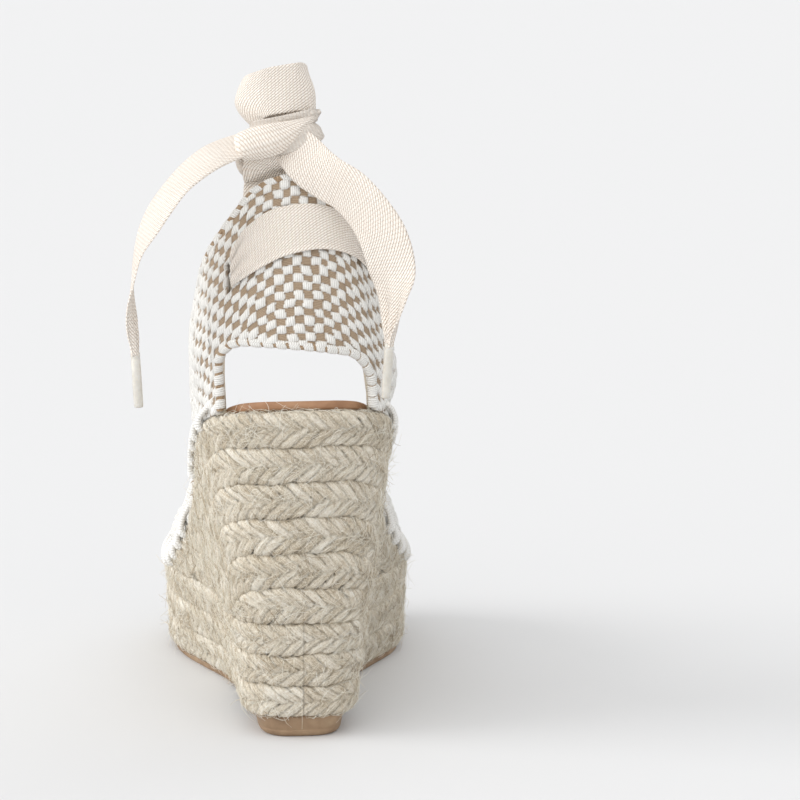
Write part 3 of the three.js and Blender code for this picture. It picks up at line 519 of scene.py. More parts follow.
def ribbon_paint():
    p = Paint("ribbon", 0.85, Specular_IOR_Level=0.2, Sheen_Weight=0.2, Sheen_Roughness=0.5)
    ra, rc = p.attr("ra"), p.attr("rc")
    wob = p.math("MULTIPLY", p.math("SUBTRACT", p.noise(p.xyz(ra, rc, 0.0), 0.35, 2.0), 0.5), 0.5)
    across_ = p.math("ADD", p.math("ADD", p.math("MULTIPLY", rc, 0.82), p.math("MULTIPLY", ra, 0.57)), wob)
    along_ = p.math("SUBTRACT", p.math("MULTIPLY", ra, 0.82), p.math("MULTIPLY", rc, 0.57))
    line = p.math("MULTIPLY", across_, 1 / 0.86)
    f = p.math("SUBTRACT", p.math("FRACT", line), 0.5)
    ridge = p.math("SUBTRACT", 1.0, p.math("MULTIPLY", p.math("MULTIPLY", f, f), 4.0))
    step = p.math("MULTIPLY", p.math("FLOOR", line), 0.37)
    g = p.math("SUBTRACT", p.math("FRACT", p.math("ADD", p.math("MULTIPLY", along_, 1 / 1.5), step)), 0.5)
    float_ = p.math("SUBTRACT", 1.0, p.math("MULTIPLY", p.math("MULTIPLY", g, g), 4.0))
    slub = p.noise(p.xyz(p.math("MULTIPLY", ra, 0.7), p.math("MULTIPLY", rc, 2.4), 0.0), 1.0, 3.0, 0.6)
    cloud = p.noise(p.place(), 90.0, 2.0, 0.5)
    tone = p.math("ADD", p.math("MULTIPLY", p.math("POWER", ridge, 0.7), 0.30), p.math("MULTIPLY", p.math("POWER", float_, 0.7), 0.27))
    tone = p.math("ADD", tone, p.math("MULTIPLY", slub, 0.30))
    tone = p.math("ADD", tone, p.math("MULTIPLY", cloud, 0.14))
    p.colour(p.ramp(tone, [(0.24, (0.54, 0.415, 0.315)), (0.44, (0.80, 0.69, 0.585)), (0.62, (0.91, 0.825, 0.735)), (0.84, (0.96, 0.905, 0.835))]))
    p.bump(p.math("ADD", ridge, p.math("ADD", p.math("MULTIPLY", float_, 0.55), p.math("MULTIPLY", slub, 0.5))), 0.00034, 0.9)
    return p.m


def leather_paint():
    p = Paint("leather", 0.5, Specular_IOR_Level=0.35)
    grain = p.node("TexVoronoi", feature="F1")
    p.put(grain.inputs["Vector"], p.place())
    grain.inputs["Scale"].default_value = 1400.0
    cloud = p.noise(p.place(), 60.0, 4.0, 0.6)
    p.colour(p.ramp(cloud, [(0.3, (0.335, 0.175, 0.095)), (0.5, (0.43, 0.24, 0.135)), (0.72, (0.50, 0.30, 0.18))]))
    p.rough(p.math("ADD", 0.36, p.math("MULTIPLY", cloud, 0.28)))
    p.bump(p.math("ADD", grain.outputs["Distance"], p.noise(p.place(), 500.0, 3.0)), 0.00012, 0.6)
    return p.m


def rubber_paint():
    p = Paint("rubber", 0.6, Specular_IOR_Level=0.35)
    speck = p.noise(p.place(), 900.0, 3.0, 0.7)
    cloud = p.noise(p.place(), 70.0, 4.0, 0.6)
    p.colour(p.blend(p.math("MULTIPLY", speck, 0.5), p.ramp(cloud, [(0.36, (0.20, 0.125, 0.072)), (0.52, (0.325, 0.215, 0.13)), (0.68, (0.45, 0.32, 0.205))]), (0.33, 0.225, 0.14)))
    p.rough(p.math("ADD", 0.45, p.math("MULTIPLY", cloud, 0.3)))
    p.bump(p.math("ADD", speck, cloud), 0.00018, 0.5)
    return p.m


def cotton_paint(name, dark, light):
    p = Paint(name, 0.9, Specular_IOR_Level=0.15)
    ra, rc = p.attr("ra"), p.attr("rc")
    a = p.math("SINE", p.math("MULTIPLY", ra, 2 * math.pi / 0.75))
    b = p.math("SINE", p.math("MULTIPLY", rc, 2 * math.pi / 0.75))
    grid = p.math("MULTIPLY", a, b)
    cloud = p.noise(p.place(), 150.0, 3.0, 0.6)
    p.colour(p.ramp(p.math("ADD", p.math("MULTIPLY", grid, 0.12), cloud), [(0.3, dark), (0.7, light)]))
    p.bump(p.math("ADD", grid, cloud), 0.00012, 0.6)
    return p.m


def plain_grain(name, dark, light, scale, roughness, bump):
    p = Paint(name, roughness, Specular_IOR_Level=0.2)
    g = p.noise(p.place(), scale, 4.0, 0.65)
    p.colour(p.ramp(g, [(0.3, dark), (0.7, light)]))
    p.bump(g, bump, 0.7)
    return p.m


def aglet_paint():
    p = Paint("aglet", 0.32, Specular_IOR_Level=0.5, Coat_Weight=0.25, Coat_Roughness=0.2, Subsurface_Weight=0.15)
    p.b.inputs["Subsurface Radius"].default_value = (0.002, 0.0016, 0.001)
    g = p.noise(p.place(), 300.0, 3.0, 0.6)
    p.colour(p.ramp(g, [(0.3, (0.58, 0.55, 0.49)), (0.7, (0.72, 0.695, 0.635))]))
    p.bump(g, 0.00006, 0.5)
    return p.m


JUTE, FIBRE, WEAVE, RIBBON, LEATHER, RUBBER, AGLET = (
    jute_paint(), fibre_paint(), weave_paint(), ribbon_paint(), leather_paint(), rubber_paint(), aglet_paint())
WRAP, STITCH = thread_paint("overcast", 0.78), thread_paint("stitch_cord", 1.1)
LINING = cotton_paint("lining", (0.66, 0.59, 0.47), (0.80, 0.735, 0.62))
CORK = plain_grain("core", (0.30, 0.19, 0.10), (0.50, 0.35, 0.21), 260.0, 0.9, 0.0004)
BOARD = plain_grain("board", (0.26, 0.18, 0.11), (0.40, 0.29, 0.18), 800.0, 0.9, 0.0001)
FOAM = plain_grain("foam", (0.70, 0.62, 0.47), (0.82, 0.75, 0.61), 1200.0, 0.95, 0.0002)
PANEL = plain_grain("jute_panel", (0.40, 0.33, 0.22), (0.62, 0.55, 0.42), 500.0, 0.95, 0.0004)

# ------------------------------------------------------------------ free ribbon ends, made first
ZIG = 14                                              # points across a ribbon


def tail(points, root, body, name, aglet_name, seed, start):
    n = 170
    f = np.linspace(0, 1, n)
    P3 = [root] + [p[:3] for p in points]
    points = [[*root, points[0][3]]] + points
    C = centripetal(P3, f)
    T = unit(np.gradient(C, axis=0))
    turn = np.radians(curve1([[i / (len(points) - 1), p[3]] for i, p in enumerate(points)])(f))
    width = curve1([[0, start], [.12, start + 2], [.3, RIBBON_WIDTH], [.72, RIBBON_WIDTH], [.86, 12], [.95, 5], [1, 3.2]])(f)
    thick = curve1([[0, .7], [.8, .7], [.92, .85], [1, 1.0]])(f)
    side = unit(np.cross(T, np.array([0.0, -1.0, 0.0])))
    face = unit(np.cross(side, T))
    W = side * np.cos(turn)[:, None] + face * np.sin(turn)[:, None]
    N = unit(np.cross(W, T))
    m = 27
    q = np.linspace(-1, 1, m)
    gather = smooth(0.70, 0.97, f)
    pleat = np.sin(q[None] * 2.3 * math.pi + 0.7) * (1.25 * gather * (1 - 0.35 * smooth(.9, 1, f)))[:, None]
    cup = (0.75 * (1 - q[None] ** 2)) * (1 - gather)[:, None] * (0.6 + 0.4 * np.sin(5 * f + seed))[:, None]
    flutter = 0.30 * np.sin(f * 23 + seed)[:, None] * q[None] ** 2 * np.sign(q)[None] * (1 - gather)[:, None]
    P = C[:, None] + W[:, None] * (q[None] * width[:, None] / 2)[..., None] + N[:, None] * (pleat + cup + flutter)[..., None]
    pts, faces, attrs = cloth(P, thick, across=q * RIBBON_WIDTH / 2)
    # a knotted core of cloth inside the gathered neck, so that it fills the aglet's mouth
    k = f > 0.93
    parts = Parts()
    parts.add(pts, faces, attrs)
    core, cf, ta, tc = hose(C[k], curve1([[0, .5], [.4, 1.25], [1, 1.4]])(np.linspace(0, 1, k.sum())), 12)
    parts.add(core, cf, {"ra": ta.ravel(), "rc": (tc * 9).ravel()})
    ob = parts.make(name, RIBBON, body=None, slot="ribbon", nodes=[name])
    end, d = C[-1], T[-1]
    rings = [(-1.2, 1.30), (-1.15, 1.5), (-0.9, 1.62), (0.2, 1.64), (0.6, 1.50), (1.1, 1.62), (8, 1.66), (16.7, 1.62), (17.6, 1.56), (17.9, 1.36), (18.0, 0.9), (17.98, 0.45)]
    a = np.array([end + d * r[0] for r in rings])
    rad = np.array([r[1] for r in rings])[:, None] * (1 - 0.05 * (np.cos(np.arange(24) / 24 * 2 * np.pi) > 0.97))[None]
    pa, fa, _, _ = hose(a, rad, 24)
    ag = make(aglet_name, pa, fa, AGLET, body=body, slot="aglet", nodes=[aglet_name])
    line = world(C)
    length = float(run_of(line)[-1])
    # two points out sideways from the end's root in the knot, on the side the end hangs to; they are not used
    out = 1 if P3[-1][0] > P3[0][0] else -1
    a, b = np.array(root, float), np.array(root, float)
    a[0] += out * 1.5
    b[0] += out * 12.0
    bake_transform(ob)
    return length


LENGTHS = [tail(TAIL_LATERAL, [15.5, 13.4, 211.4], "lateral_tail", "ribbon_tail_lateral", "aglet_lateral", 0.4, 11.5),
           tail(TAIL_MEDIAL, [4.2, 13.2, 211.4], "medial_tail", "ribbon_tail_medial", "aglet_medial", 2.1, 14.0)]

# ------------------------------------------------------------------ jute braids
# base section of a braid: fraction of half height, offset from the wall, arc distance from its middle line
def base_section():
    th = np.radians(np.linspace(-138, 138, 721))
    c, n = np.cos(th), np.sin(th)
    off = -3.3 + np.where(c > 0, 2.7, 3.2) * np.sign(c) * np.abs(c) ** 0.42
    z = np.sign(n) * np.abs(n) ** 0.46
    w = run_of(np.stack([off, z * 5.3], 1))
    w -= w[-1] / 2
    return off, z, w


_off, _zeta, _w = base_section()
BRAID_M = 46
SW = np.linspace(_w[0], _w[-1], BRAID_M)
SOFF, SZ = np.interp(SW, _w, _off), np.interp(SW, _w, _zeta)
_d = np.stack([np.gradient(SZ * 5.3), -np.gradient(SOFF)], 1)
SN = unit(_d)                                             # outward normal in (off, z)
if SN[BRAID_M // 2, 0] < 0:
    SN = -SN


def plait(a, w, pitch, angle, seed):
    """Three-strand flat plait: height 0..1, distance along and across the strand on top, and its number."""
    W0, over = 6.7, 2.0
    S = (W0 + over) / math.tan(math.radians(angle))
    shape = np.broadcast(a, w).shape
    best, sa, sc, sid = np.full(shape, -1.0), np.zeros(shape), np.zeros(shape), np.zeros(shape)
    for lane in (1, -1):
        t = (W0 - w * lane) / (W0 + over)
        q = a - S * (1 - t) * (1 - 0.10 * (1 - t)) + (0 if lane == 1 else pitch / 2)
        k0 = np.round(q / pitch)
        env = (0.70 + 0.30 * np.sin(np.pi * np.clip(t / 0.82, 0, 1))) * np.sqrt(np.clip(1 - np.clip((t - 0.70) / 0.30, 0, 1) ** 2, 0, 1))
        slim = 1 - 0.40 * smooth(0.55, 1.0, t)
        for dk in (-1, 0, 1):
            k = k0 + dk
            r1, r2, r3 = rnd(k, lane, seed), rnd(k, lane + 5, seed), rnd(k, lane + 9, seed)
            d = q - k * pitch + (r1 - 0.5) * 0.7 + 0.35 * np.sin(t * 3 + r2 * 6)
            hw = pitch * 0.60 * slim * (0.86 + 0.28 * r2)
            e = 1 - (d / hw) ** 2
            h = env * np.sqrt(np.clip(e, 0, 1)) * (0.86 + 0.24 * r3) + 0.07 * d / hw
            h = np.where((e > 0) & (t <= 1.0), h, -1)
            up = h > best
            best = np.where(up, h, best)
            sc = np.where(up, d * math.sin(math.radians(angle)), sc)
            sa = np.where(up, t * (W0 + over) / math.sin(math.radians(angle)) + k * 3.1, sa)
            sid = np.where(up, r1 * 0.7 + r3 * 0.3, sid)
    return np.maximum(best, 0.0), sa, sc, sid


BRAIDS = {}


def braid(name, u, z0, z1, zc_full, h_full, along, slope, pitch, angle, seed, closed, sink=None):
    """One jute braid along stations u, between heights z0 and z1."""
    n = len(u)
    half = (z1 - z0) / 2
    zc = (z0 + z1) / 2
    inner = np.maximum(half - 0.62 * (1 + 0 * half), 0.35 * half)
    ratio = np.clip(2 * half / h_full, 0.05, 1.3)
    tilt = np.sqrt(1 + slope ** 2 / np.maximum(1 - slope ** 2, 0.05))
    w_pat = SW[None] * np.minimum(ratio, 1.0)[:, None] + ((zc - zc_full) / tilt)[:, None]
    zz = zc[:, None] + SZ[None] * inner[:, None]
    a_pat = along[:, None] + (zz - zc_full[:, None]) * slope[:, None]
    a_pat = a_pat + 0.5 * wander(a_pat, seed + 3, 4, 30.0)
    h, sa, sc, sid = plait(a_pat, -w_pat if name == "braid_row_9" else w_pat, pitch, angle, seed)
    back_face = (0.08 + 0.92 * smooth(13.5, 5.5, top_plan(u)[:, 1]))[:, None]
    fine = 0.125 * np.sin(2 * np.pi * (sc / 0.95 + sid * 7) + 0.8 * np.sin(sa * 0.55 + sid * 20)) + 0.09 * np.sin(2 * np.pi * (sc / 0.55 + sid * 3) + 1.1 * np.sin(sa * 0.8))
    lump = 0.22 * wander(along, seed, 5, 60.0)[:, None] + 0.10 * wander(a_pat * 1.0 + w_pat * 2.3, seed + 8, 4, 9.0)
    D = -0.15 + 1.55 * h + fine * smooth(0.05, 0.4, h) + lump
    if sink is not None:
        D = D - sink[:, None]
    flat_end = smooth(0.25, 0.7, ratio)[:, None]
    full = np.where(np.abs(SW) < 8.3, -0.62, SOFF)[None]
    off = mix(full, SOFF[None] + 0 * back_face, np.minimum(1, 0.12 + 0.88 * back_face)) + D * SN[None, :, 0] * mix(0.6, 1, flat_end)
    z = zz + D * SN[None, :, 1] * np.minimum(tilt, 1.3)[:, None] * mix(0.3, 1.0, flat_end) * 0.9
    xy = wall(u[:, None] + 0 * z, z, off)
    front = np.concatenate([xy, z[..., None]], -1)
    bz = zc[:, None] + np.array([0.75, 0.0, -0.75])[None] * inner[:, None]
    bxy = wall(u[:, None] + 0 * bz, bz, -6.75 + 0 * bz)
    rear = np.concatenate([bxy, bz[..., None]], -1)
    P = np.concatenate([front, rear], 1)
    # painted shade: darker where the plait dips between strands and, on the heel's back face, along the gutters between
    # rows; the gutter shade fades towards the sides
    cav = np.clip(1 - h / 0.26, 0, 1) * 0.80
    gutter_shade = smooth(6.5, 7.9, np.abs(SW))[None] * (0 * h + 1)
    if name == "braid_row_9":
        gutter_shade = np.where(SW[None] > 0, 0.25 * gutter_shade, gutter_shade)
    if name == "braid_ring_1":
        gutter_shade = np.where(SW[None] < 0, 0.4 * gutter_shade, gutter_shade)
    cav = np.maximum(cav * (0.35 + 0.65 * back_face), 0.95 * gutter_shade * back_face)
    pad = lambda v: np.concatenate([v, np.repeat(v[:, -1:], 3, 1)], 1)
    m = BRAID_M + 3
    make(name, P, tube_faces(n, m, closed), JUTE, slot="jute", nodes=[name],
         attrs={"sa": pad(sa), "sc": pad(sc), "sid": pad(sid), "cav": pad(cav)})
    BRAIDS[name] = dict(u=u, zc=zc, inner=inner, run=along, slope=slope, tilt=tilt)


STEP = 0.46
# rings
for k in (1, 2, 3):
    uu = np.linspace(0, 1, 2401)
    s = top_plan(uu)[:, 1]
    mid = (ring_level(k - 1, s) + ring_level(k, s)) / 2
    P = np.concatenate([wall(uu, mid), mid[:, None]], 1)
    run = run_of(P)
    pitch0 = 5.0
    count = round(run[-1] / pitch0)
    pitch = run[-1] / count
    n = int(run[-1] / STEP)
    at = np.arange(n) / n * run[-1]
    u = np.interp(at, run, uu)
    s = top_plan(u)[:, 1]
    bend = lambda j: 0.0 if j in (0, 3) else 0.35 * np.sin(2 * np.pi * (7 * u + rnd(j, 4))) + 0.25 * np.sin(2 * np.pi * (17 * u + rnd(j, 9)))
    z0 = ring_level(k - 1, s) + (0.1 if k > 1 else 0) + bend(k - 1)
    z1 = ring_level(k, s) - 0.1 + bend(k)
    braid(f"braid_ring_{k}", u, z0, z1, (z0 + z1) / 2, (z1 - z0), at, np.zeros(n), pitch, 37.0, 20 + k, True)

# wrapped rows
for k in range(4, 10):
    ends = []
    for side in (1, -1):
        uu = np.arange(0, 0.5, 0.0005)
        s = top_plan(side * uu)[:, 1]
        stop = np.argmax(row_top(k, s) - ring_top(s) < 3.2)
        ends.append(side * uu[stop])
    uu = np.linspace(ends[1], ends[0], 2401)
    s = top_plan(uu)[:, 1]
    st = stretch(s)
    mid = row_top(k, s) - ROW_HEIGHT * st / 2
    P = np.concatenate([wall(uu, np.maximum(mid, ring_top(s))), mid[:, None]], 1)
    run = run_of(P)
    n = int(run[-1] / STEP)
    at = np.linspace(0, run[-1], n)
    u = np.interp(at, run, uu)
    s = top_plan(u)[:, 1]
    st = stretch(s)
    bend = lambda j: 0.0 if j == 9 else 0.45 * np.sin(2 * np.pi * (9 * u + rnd(j, 2))) + 0.30 * np.sin(2 * np.pi * (21 * u + rnd(j, 6)))
    full0, full1 = row_top(k, s) - ROW_HEIGHT * st, row_top(k, s)
    z1 = full1 - (1.0 if k == 9 else 0.1) + bend(k)
    z0 = np.maximum(full0 + 0.1 + (bend(k - 1) if k > 4 else 0.0), ring_top(s) + 0.15)
    z1 = np.maximum(z1, z0 + 1.2)
    mid = (full0 + full1) / 2
    slope = np.gradient(mid, at)
    sink = 2.6 * (smooth(7, 0, at) + smooth(run[-1] - 7, run[-1], at))
    braid(f"braid_row_{k}", u, z0, z1, mid, ROW_HEIGHT * st, at, np.clip(slope, -0.8, 0.8), 4.55, 36.0, 40 + k, False, sink)


def braid_point(name, at, w, lift):
    """Point over a braid's own base surface, by distance along it, across it and above it."""
    b = BRAIDS[name]
    u, zc, inner, tilt = (np.interp(at, b["run"], b[x]) for x in ("u", "zc", "inner", "tilt"))
    off0, z0 = np.interp(w, SW, SOFF), np.interp(w, SW, SZ)
    n0, n1 = np.interp(w, SW, SN[:, 0]), np.interp(w, SW, SN[:, 1])
    z = zc + z0 * inner + lift * n1
    return np.concatenate([wall(u, z, off0 + lift * n0), z[..., None]], -1)


def fibres():
    rng = np.random.default_rng(11)
    names = list(BRAIDS)
    lengths = np.array([BRAIDS[n]["run"][-1] for n in names])
    share = lengths / lengths.sum()
    segs, sides = 7, 3
    f = np.linspace(0, 1, segs)
    for name, portion in zip(names, share):
        parts = Parts()
        for kind, total in (("lying", 17000), ("free", 3200), ("edge", 1700 / portion if name == "braid_row_9" else 0)):
            n = int(total * portion)
            if n == 0:
                continue
            top = BRAIDS[name]["run"][-1]
            a0 = rng.uniform(4, top - 4, n)
            w0 = rng.uniform(6.2, 9.2, n) if kind == "edge" else rng.uniform(-7.4, 7.4, n)
            lane = np.where(w0 > 0, 1.0, -1.0)
            ang = np.radians(rng.normal(36, 34, n)) * lane
            L = rng.uniform(4, 13, n) if kind != "free" else rng.uniform(5, 16, n)
            sign = np.where(rng.random(n) < 0.5, 1.0, -1.0)
            curl = rng.normal(0, 1.1, n)
            th = ang[:, None] + curl[:, None] * (f[None] - 0.5)
            da, dw = np.cumsum(np.cos(th), 1) / segs, np.cumsum(np.sin(th), 1) / segs
            at = np.clip(a0[:, None] + sign[:, None] * L[:, None] * da, 0.5, top - 0.5)
            w = np.clip(w0[:, None] + sign[:, None] * L[:, None] * dw, -8.6, 12.0 if kind == "edge" else 8.6)
            if kind != "free":
                lift = rng.uniform(0.7, 1.6, n)[:, None] * (0.55 if kind == "edge" else 1.0) + rng.uniform(0.0, 1.0, n)[:, None] * np.sin(np.pi * f)[None]
            else:
                lift = 0.8 + (rng.uniform(0.3, 1.0, n) ** 2 * 5.5)[:, None] * f[None] ** 1.6
            C = braid_point(name, at, w, lift)
            if kind == "free":
                C[..., 2] += rng.normal(0, 1.2, n)[:, None] * f[None] ** 2
            C[..., 2] = np.maximum(C[..., 2], 0.4)
            T = unit(np.gradient(C, axis=1))
            O = unit(np.cross(T, rng.normal(0, 1, (n, 1, 3))))
            U = np.cross(T, O)
            r = (rng.uniform(0.050, 0.105, n))[:, None] * (1 - 0.55 * f ** 2)[None]
            phi = np.arange(sides) / sides * 2 * np.pi
            P = C[:, :, None] + r[..., None, None] * (O[:, :, None] * np.cos(phi)[:, None] + U[:, :, None] * np.sin(phi)[:, None])
            base = (np.arange(n) * segs * sides)[:, None, None]
            faces = [(fa[None] + base).reshape(-1, fa.shape[1]) for fa in tube_faces(segs, sides)]
            parts.add(P.reshape(-1, 3), faces, {"sid": np.repeat(rng.random(n), segs * sides)})
        parts.make(name.replace("braid", "fibres"), FIBRE, slot="jute")


fibres()


# ------------------------------------------------------------------ rubber tip and tread
def stack(loop_at, levels):
    """Closed body from plan loops: levels are (z, inset)."""
    rows = []
    for z, inset in levels:
        q = loop_at(inset)
        zz = np.broadcast_to(z, (len(q),))
        rows.append(np.concatenate([q, zz[:, None]], 1))
    P = np.array(rows)
    return P, tube_faces(len(levels), P.shape[1])


def tip_loop(f, inset):
    t = np.arange(160) / 160 * 2 * np.pi
    c, n = np.cos(t), np.sin(t)
    a, b = mix(14.4, 16.1, f) - inset, mix(19.0, 20.6, f) - inset
    return np.stack([a * np.sign(c) * np.abs(c) ** 0.62, 37.6 + b * np.sign(n) * np.abs(n) ** 0.62], 1)


tip_levels = [(0.0, 1.7), (0.12, 1.1), (0.45, 0.6), (1.0, 0.2), (1.8, 0.0), (2.2, 0.0), (2.5, 0.16), (2.8, 0.16), (3.1, 0.0), (5.4, 0.0), (7.2, 0.0), (7.7, 0.18), (8.0, 0.7)]
P = np.array([np.concatenate([tip_loop(z / TIP_HEIGHT, i), np.full((160, 1), z)], 1) for z, i in tip_levels])
make("heel_tip", P, tube_faces(len(tip_levels), 160), RUBBER, slot="rubber", nodes=["heel_tip"])

uu = np.linspace(0, 1, 1201)[:-1]
keep = top_plan(uu)[:, 1] > 96
base_loop = wall(uu, underside(top_plan(uu)[:, 1]), -1.2)
sel = base_loop[:, 1] > 100.0
loop = base_loop[sel][::3]
loop = np.concatenate([loop, np.stack([np.linspace(loop[-1, 0], loop[0, 0], 16)[1:-1], np.full(14, 100.0)], 1)])
centre = loop.mean(0)
normal_in = unit(np.roll(loop, 1, 0) - np.roll(loop, -1, 0))[:, ::-1] * np.array([1, -1])
if ((centre - loop) * normal_in).sum() < 0:
    normal_in = -normal_in
levels = [(0.0, 0.9), (0.1, 0.35), (0.45, 0.0), (2.3, 0.0), (2.7, 0.25), (2.8, 0.7)]
P = np.array([np.concatenate([loop + normal_in * i, np.full((len(loop), 1), z)], 1) for z, i in levels])
make("forefoot_outsole", P, tube_faces(len(levels), len(loop)), RUBBER, slot="rubber", nodes=["forefoot_outsole"])

# ------------------------------------------------------------------ leather footbed, wrapped over its foam
lo, hi, fx0, fx1 = outline(lambda s: top_edge(s), FOOTBED_INSET)
NS, NX = 230, 44
ss = mix(lo + 0.7, hi - 0.7, 0.5 - 0.5 * np.cos(np.pi * mix(np.linspace(0, 1, NS), 0.5 - 0.5 * np.cos(np.pi * np.linspace(0, 1, NS)), 0.15)))
aa = 0.5 - 0.5 * np.cos(np.pi * np.linspace(0, 1, NX))
x = mix(fx0(ss)[:, None], fx1(ss)[:, None], aa[None])
half = (fx1(ss) - fx0(ss))[:, None] / 2
edge_x = np.minimum(aa, 1 - aa)[None] * 2 * half
edge_s = np.minimum(ss - ss[0], ss[-1] - ss)[:, None] + 0 * x
edge = np.minimum(edge_x, edge_s)
round_ = np.sqrt(np.clip(1 - (1 - np.clip(edge / 1.6, 0, 1)) ** 2, 0, 1))
dish = 0.7 * smooth(4, 22, edge) * (0.6 + 0.4 * np.cos((ss[:, None] - 30) / 60))
groove = 0.28 * np.exp(-((edge - 3.4) / 0.45) ** 2)
zt = top_edge(ss)[:, None] + 1.55 + 2.3 * round_ - dish - groove
zb = top_edge(ss)[:, None] + 0.75 + 0 * x
S2 = ss[:, None] + 0 * x
topP, botP = np.stack([x, S2, zt], -1), np.stack([x, S2, zb], -1)
ring = np.concatenate([topP, botP[:, ::-1]], 1)
make("footbed", ring, tube_faces(NS, 2 * NX)[:1] + [np.stack([i * 2 * NX + np.arange(NX - 1), i * 2 * NX + np.arange(1, NX), i * 2 * NX + 2 * NX - 2 - np.arange(NX - 1), i * 2 * NX + 2 * NX - 1 - np.arange(NX - 1)], -1)[:, ::(1 if i else -1)] for i in (0, NS - 1)],
     LEATHER, slot="leather", nodes=["footbed"])

# ------------------------------------------------------------------ woven uppers
CELL_W, CELL_H = 3.12, 2.88


def basket(c, r, fat, seed):
    """Basket weave: height 0..1, white mask and painted crevice shade by distance across c and up r; fat swells the
    white floats.
    """
    c = c + 0.22 * np.sin(r * 0.9 + seed) + 0.16 * np.sin(c * 0.7 + r * 0.45)
    r = r + 0.20 * np.sin(c * 0.8 + seed * 2) + 0.14 * np.sin(r * 0.6 - c * 0.35)
    i0, j0 = np.floor(c / CELL_W), np.floor(r / CELL_H)
    best = np.full(c.shape, -1.0)
    for di in (-1, 0, 1):
        for dj in (-1, 0, 1):
            i, j = i0 + di, j0 + dj
            even = np.mod(i + j, 2) < 0.5
            k1, k2 = rnd(i, j, seed), rnd(i, j, seed + 7)
            x = (c - (i + 0.5) * CELL_W - (k1 - 0.5) * 0.6 + (k2 - 0.5) * 0.22 * (r - (j + 0.5) * CELL_H)) / (CELL_W * 0.5 * (1.06 + fat * 0.38) * (0.95 + 0.1 * k2))
            y = (r - (j + 0.5) * CELL_H - (k2 - 0.5) * 0.6) / (CELL_H * 0.5 * (1.16 + fat * 0.22) * (0.95 + 0.12 * k1))
            h = np.clip(1 - np.abs(x) ** 3.4, 0, 1) ** 0.6 * np.clip(1 - np.abs(y) ** 2.2, 0, 1) ** 0.6 * (0.82 + 0.36 * k1)
            best = np.where(even & (h > best), h, best)
    ii = np.mod(c / CELL_W, 1) - 0.5
    tan = 0.16 + 0.10 * (1 - (2 * ii) ** 2)
    white = smooth(0.02, 0.14, best - tan)
    H = np.maximum(best, tan)
    # painted shade: darkest where a white float dips down to the tan ground
    cav = np.clip(1 - np.abs(best - tan) / 0.22, 0, 1) * (best < 0.55)
    return H, white, cav


def shell(name, l, b, place, inner_off, outer, m, hole, material, nodes, slot):
    """Closed woven sheet: fine outer face, coarse inner face m times wider, and holes by coarse cell.
    place(L, B, off) gives points; outer(L, B) gives the outer offset and the face's attributes."""
    nl, nb = len(l), len(b)
    L, B = np.meshgrid(l, b, indexing="ij")
    off, attrs = outer(L, B)
    top = place(L, B, off)
    cl, cb = l[::m], b[::m]
    CL, CB = np.meshgrid(cl, cb, indexing="ij")
    low = place(CL, CB, np.full(CL.shape, inner_off))
    NC, MC = len(cl) - 1, len(cb) - 1
    mask = np.ones((NC, MC), bool)
    for i, j in hole:
        mask[i, j] = False
    fine = np.repeat(np.repeat(mask, m, 0), m, 1)
    I, J = np.nonzero(fine)
    quads = np.stack([I * nb + J, (I + 1) * nb + J, (I + 1) * nb + J + 1, I * nb + J + 1], -1)
    base, cw = nl * nb, len(cb)
    I, J = np.nonzero(mask)
    inner = np.stack([base + I * cw + J, base + I * cw + J + 1, base + (I + 1) * cw + J + 1, base + (I + 1) * cw + J], -1)
    rim = []
    padm = np.pad(mask, 1)
    for i in range(NC):
        for j in range(MC):
            if not mask[i, j]:
                continue
            if not padm[i, j + 1]:        # edge at l = cl[i]
                f = [(i * m) * nb + j * m + q for q in range(m + 1)]
                rim.append(f + [base + i * cw + j + 1, base + i * cw + j])
            if not padm[i + 2, j + 1]:
                f = [((i + 1) * m) * nb + j * m + q for q in range(m, -1, -1)]
                rim.append(f + [base + (i + 1) * cw + j, base + (i + 1) * cw + j + 1])
            if not padm[i + 1, j]:
                f = [(i * m + q) * nb + j * m for q in range(m, -1, -1)]
                rim.append(f + [base + i * cw + j, base + (i + 1) * cw + j])
            if not padm[i + 1, j + 2]:
                f = [(i * m + q) * nb + (j + 1) * m for q in range(m + 1)]
                rim.append(f + [base + (i + 1) * cw + j + 1, base + i * cw + j + 1])
    P = np.concatenate([top.reshape(-1, 3), low.reshape(-1, 3)])
    # drop points inside the holes
    faces = [quads, inner, np.array(rim)]
    used = np.zeros(len(P), bool)
    for f in faces:
        used[f.ravel()] = True
    new = np.cumsum(used) - 1
    faces = [new[f] for f in faces]
    full = {k: np.concatenate([v.ravel(), v[::m, ::m].ravel()])[used] for k, v in attrs.items()}
    return make(name, P[used], faces, material, slot=slot, nodes=nodes, attrs=full)


collar_half, collar_rear, collar_shift = curve1(COLLAR_HALF), curve1(COLLAR_REAR), curve1(COLLAR_SHIFT)
collar_top = curve1(COLLAR_TOP)


def base_line(side):
    u = side * np.arange(401) / 1000
    p = wall(u, top_edge(top_plan(u)[:, 1]), -UPPER_INSET)
    run = run_of(p)
    return lambda d: (np.interp(d, run, p[:, 0]), np.interp(d, run, p[:, 1]))


base_lateral, base_medial = base_line(1), base_line(-1)


def collar_base(l):
    d = np.abs(l)
    xa, sa = base_lateral(d)
    xb, sb = base_medial(d)
    return np.where(l < 0, xb, xa), np.where(l < 0, sb, sa)


def collar_plan(l, z):
    side, d = np.where(l < 0, -1.0, 1.0), np.abs(l)
    bx, bs = collar_base(l)
    a = collar_half(z)
    b = 0.92 * a
    quarter = np.pi / 2 * np.sqrt((a * a + b * b) / 2)
    t = np.minimum(1, d / quarter) * np.pi / 2
    x = side * a * np.sin(t) + collar_shift(z)
    s = collar_rear(z) + b * (1 - np.cos(t)) + np.maximum(0, d - quarter)
    f = smooth(1, 26, z - top_edge(bs))
    return mix(bx, x, f), mix(bs, s, f)


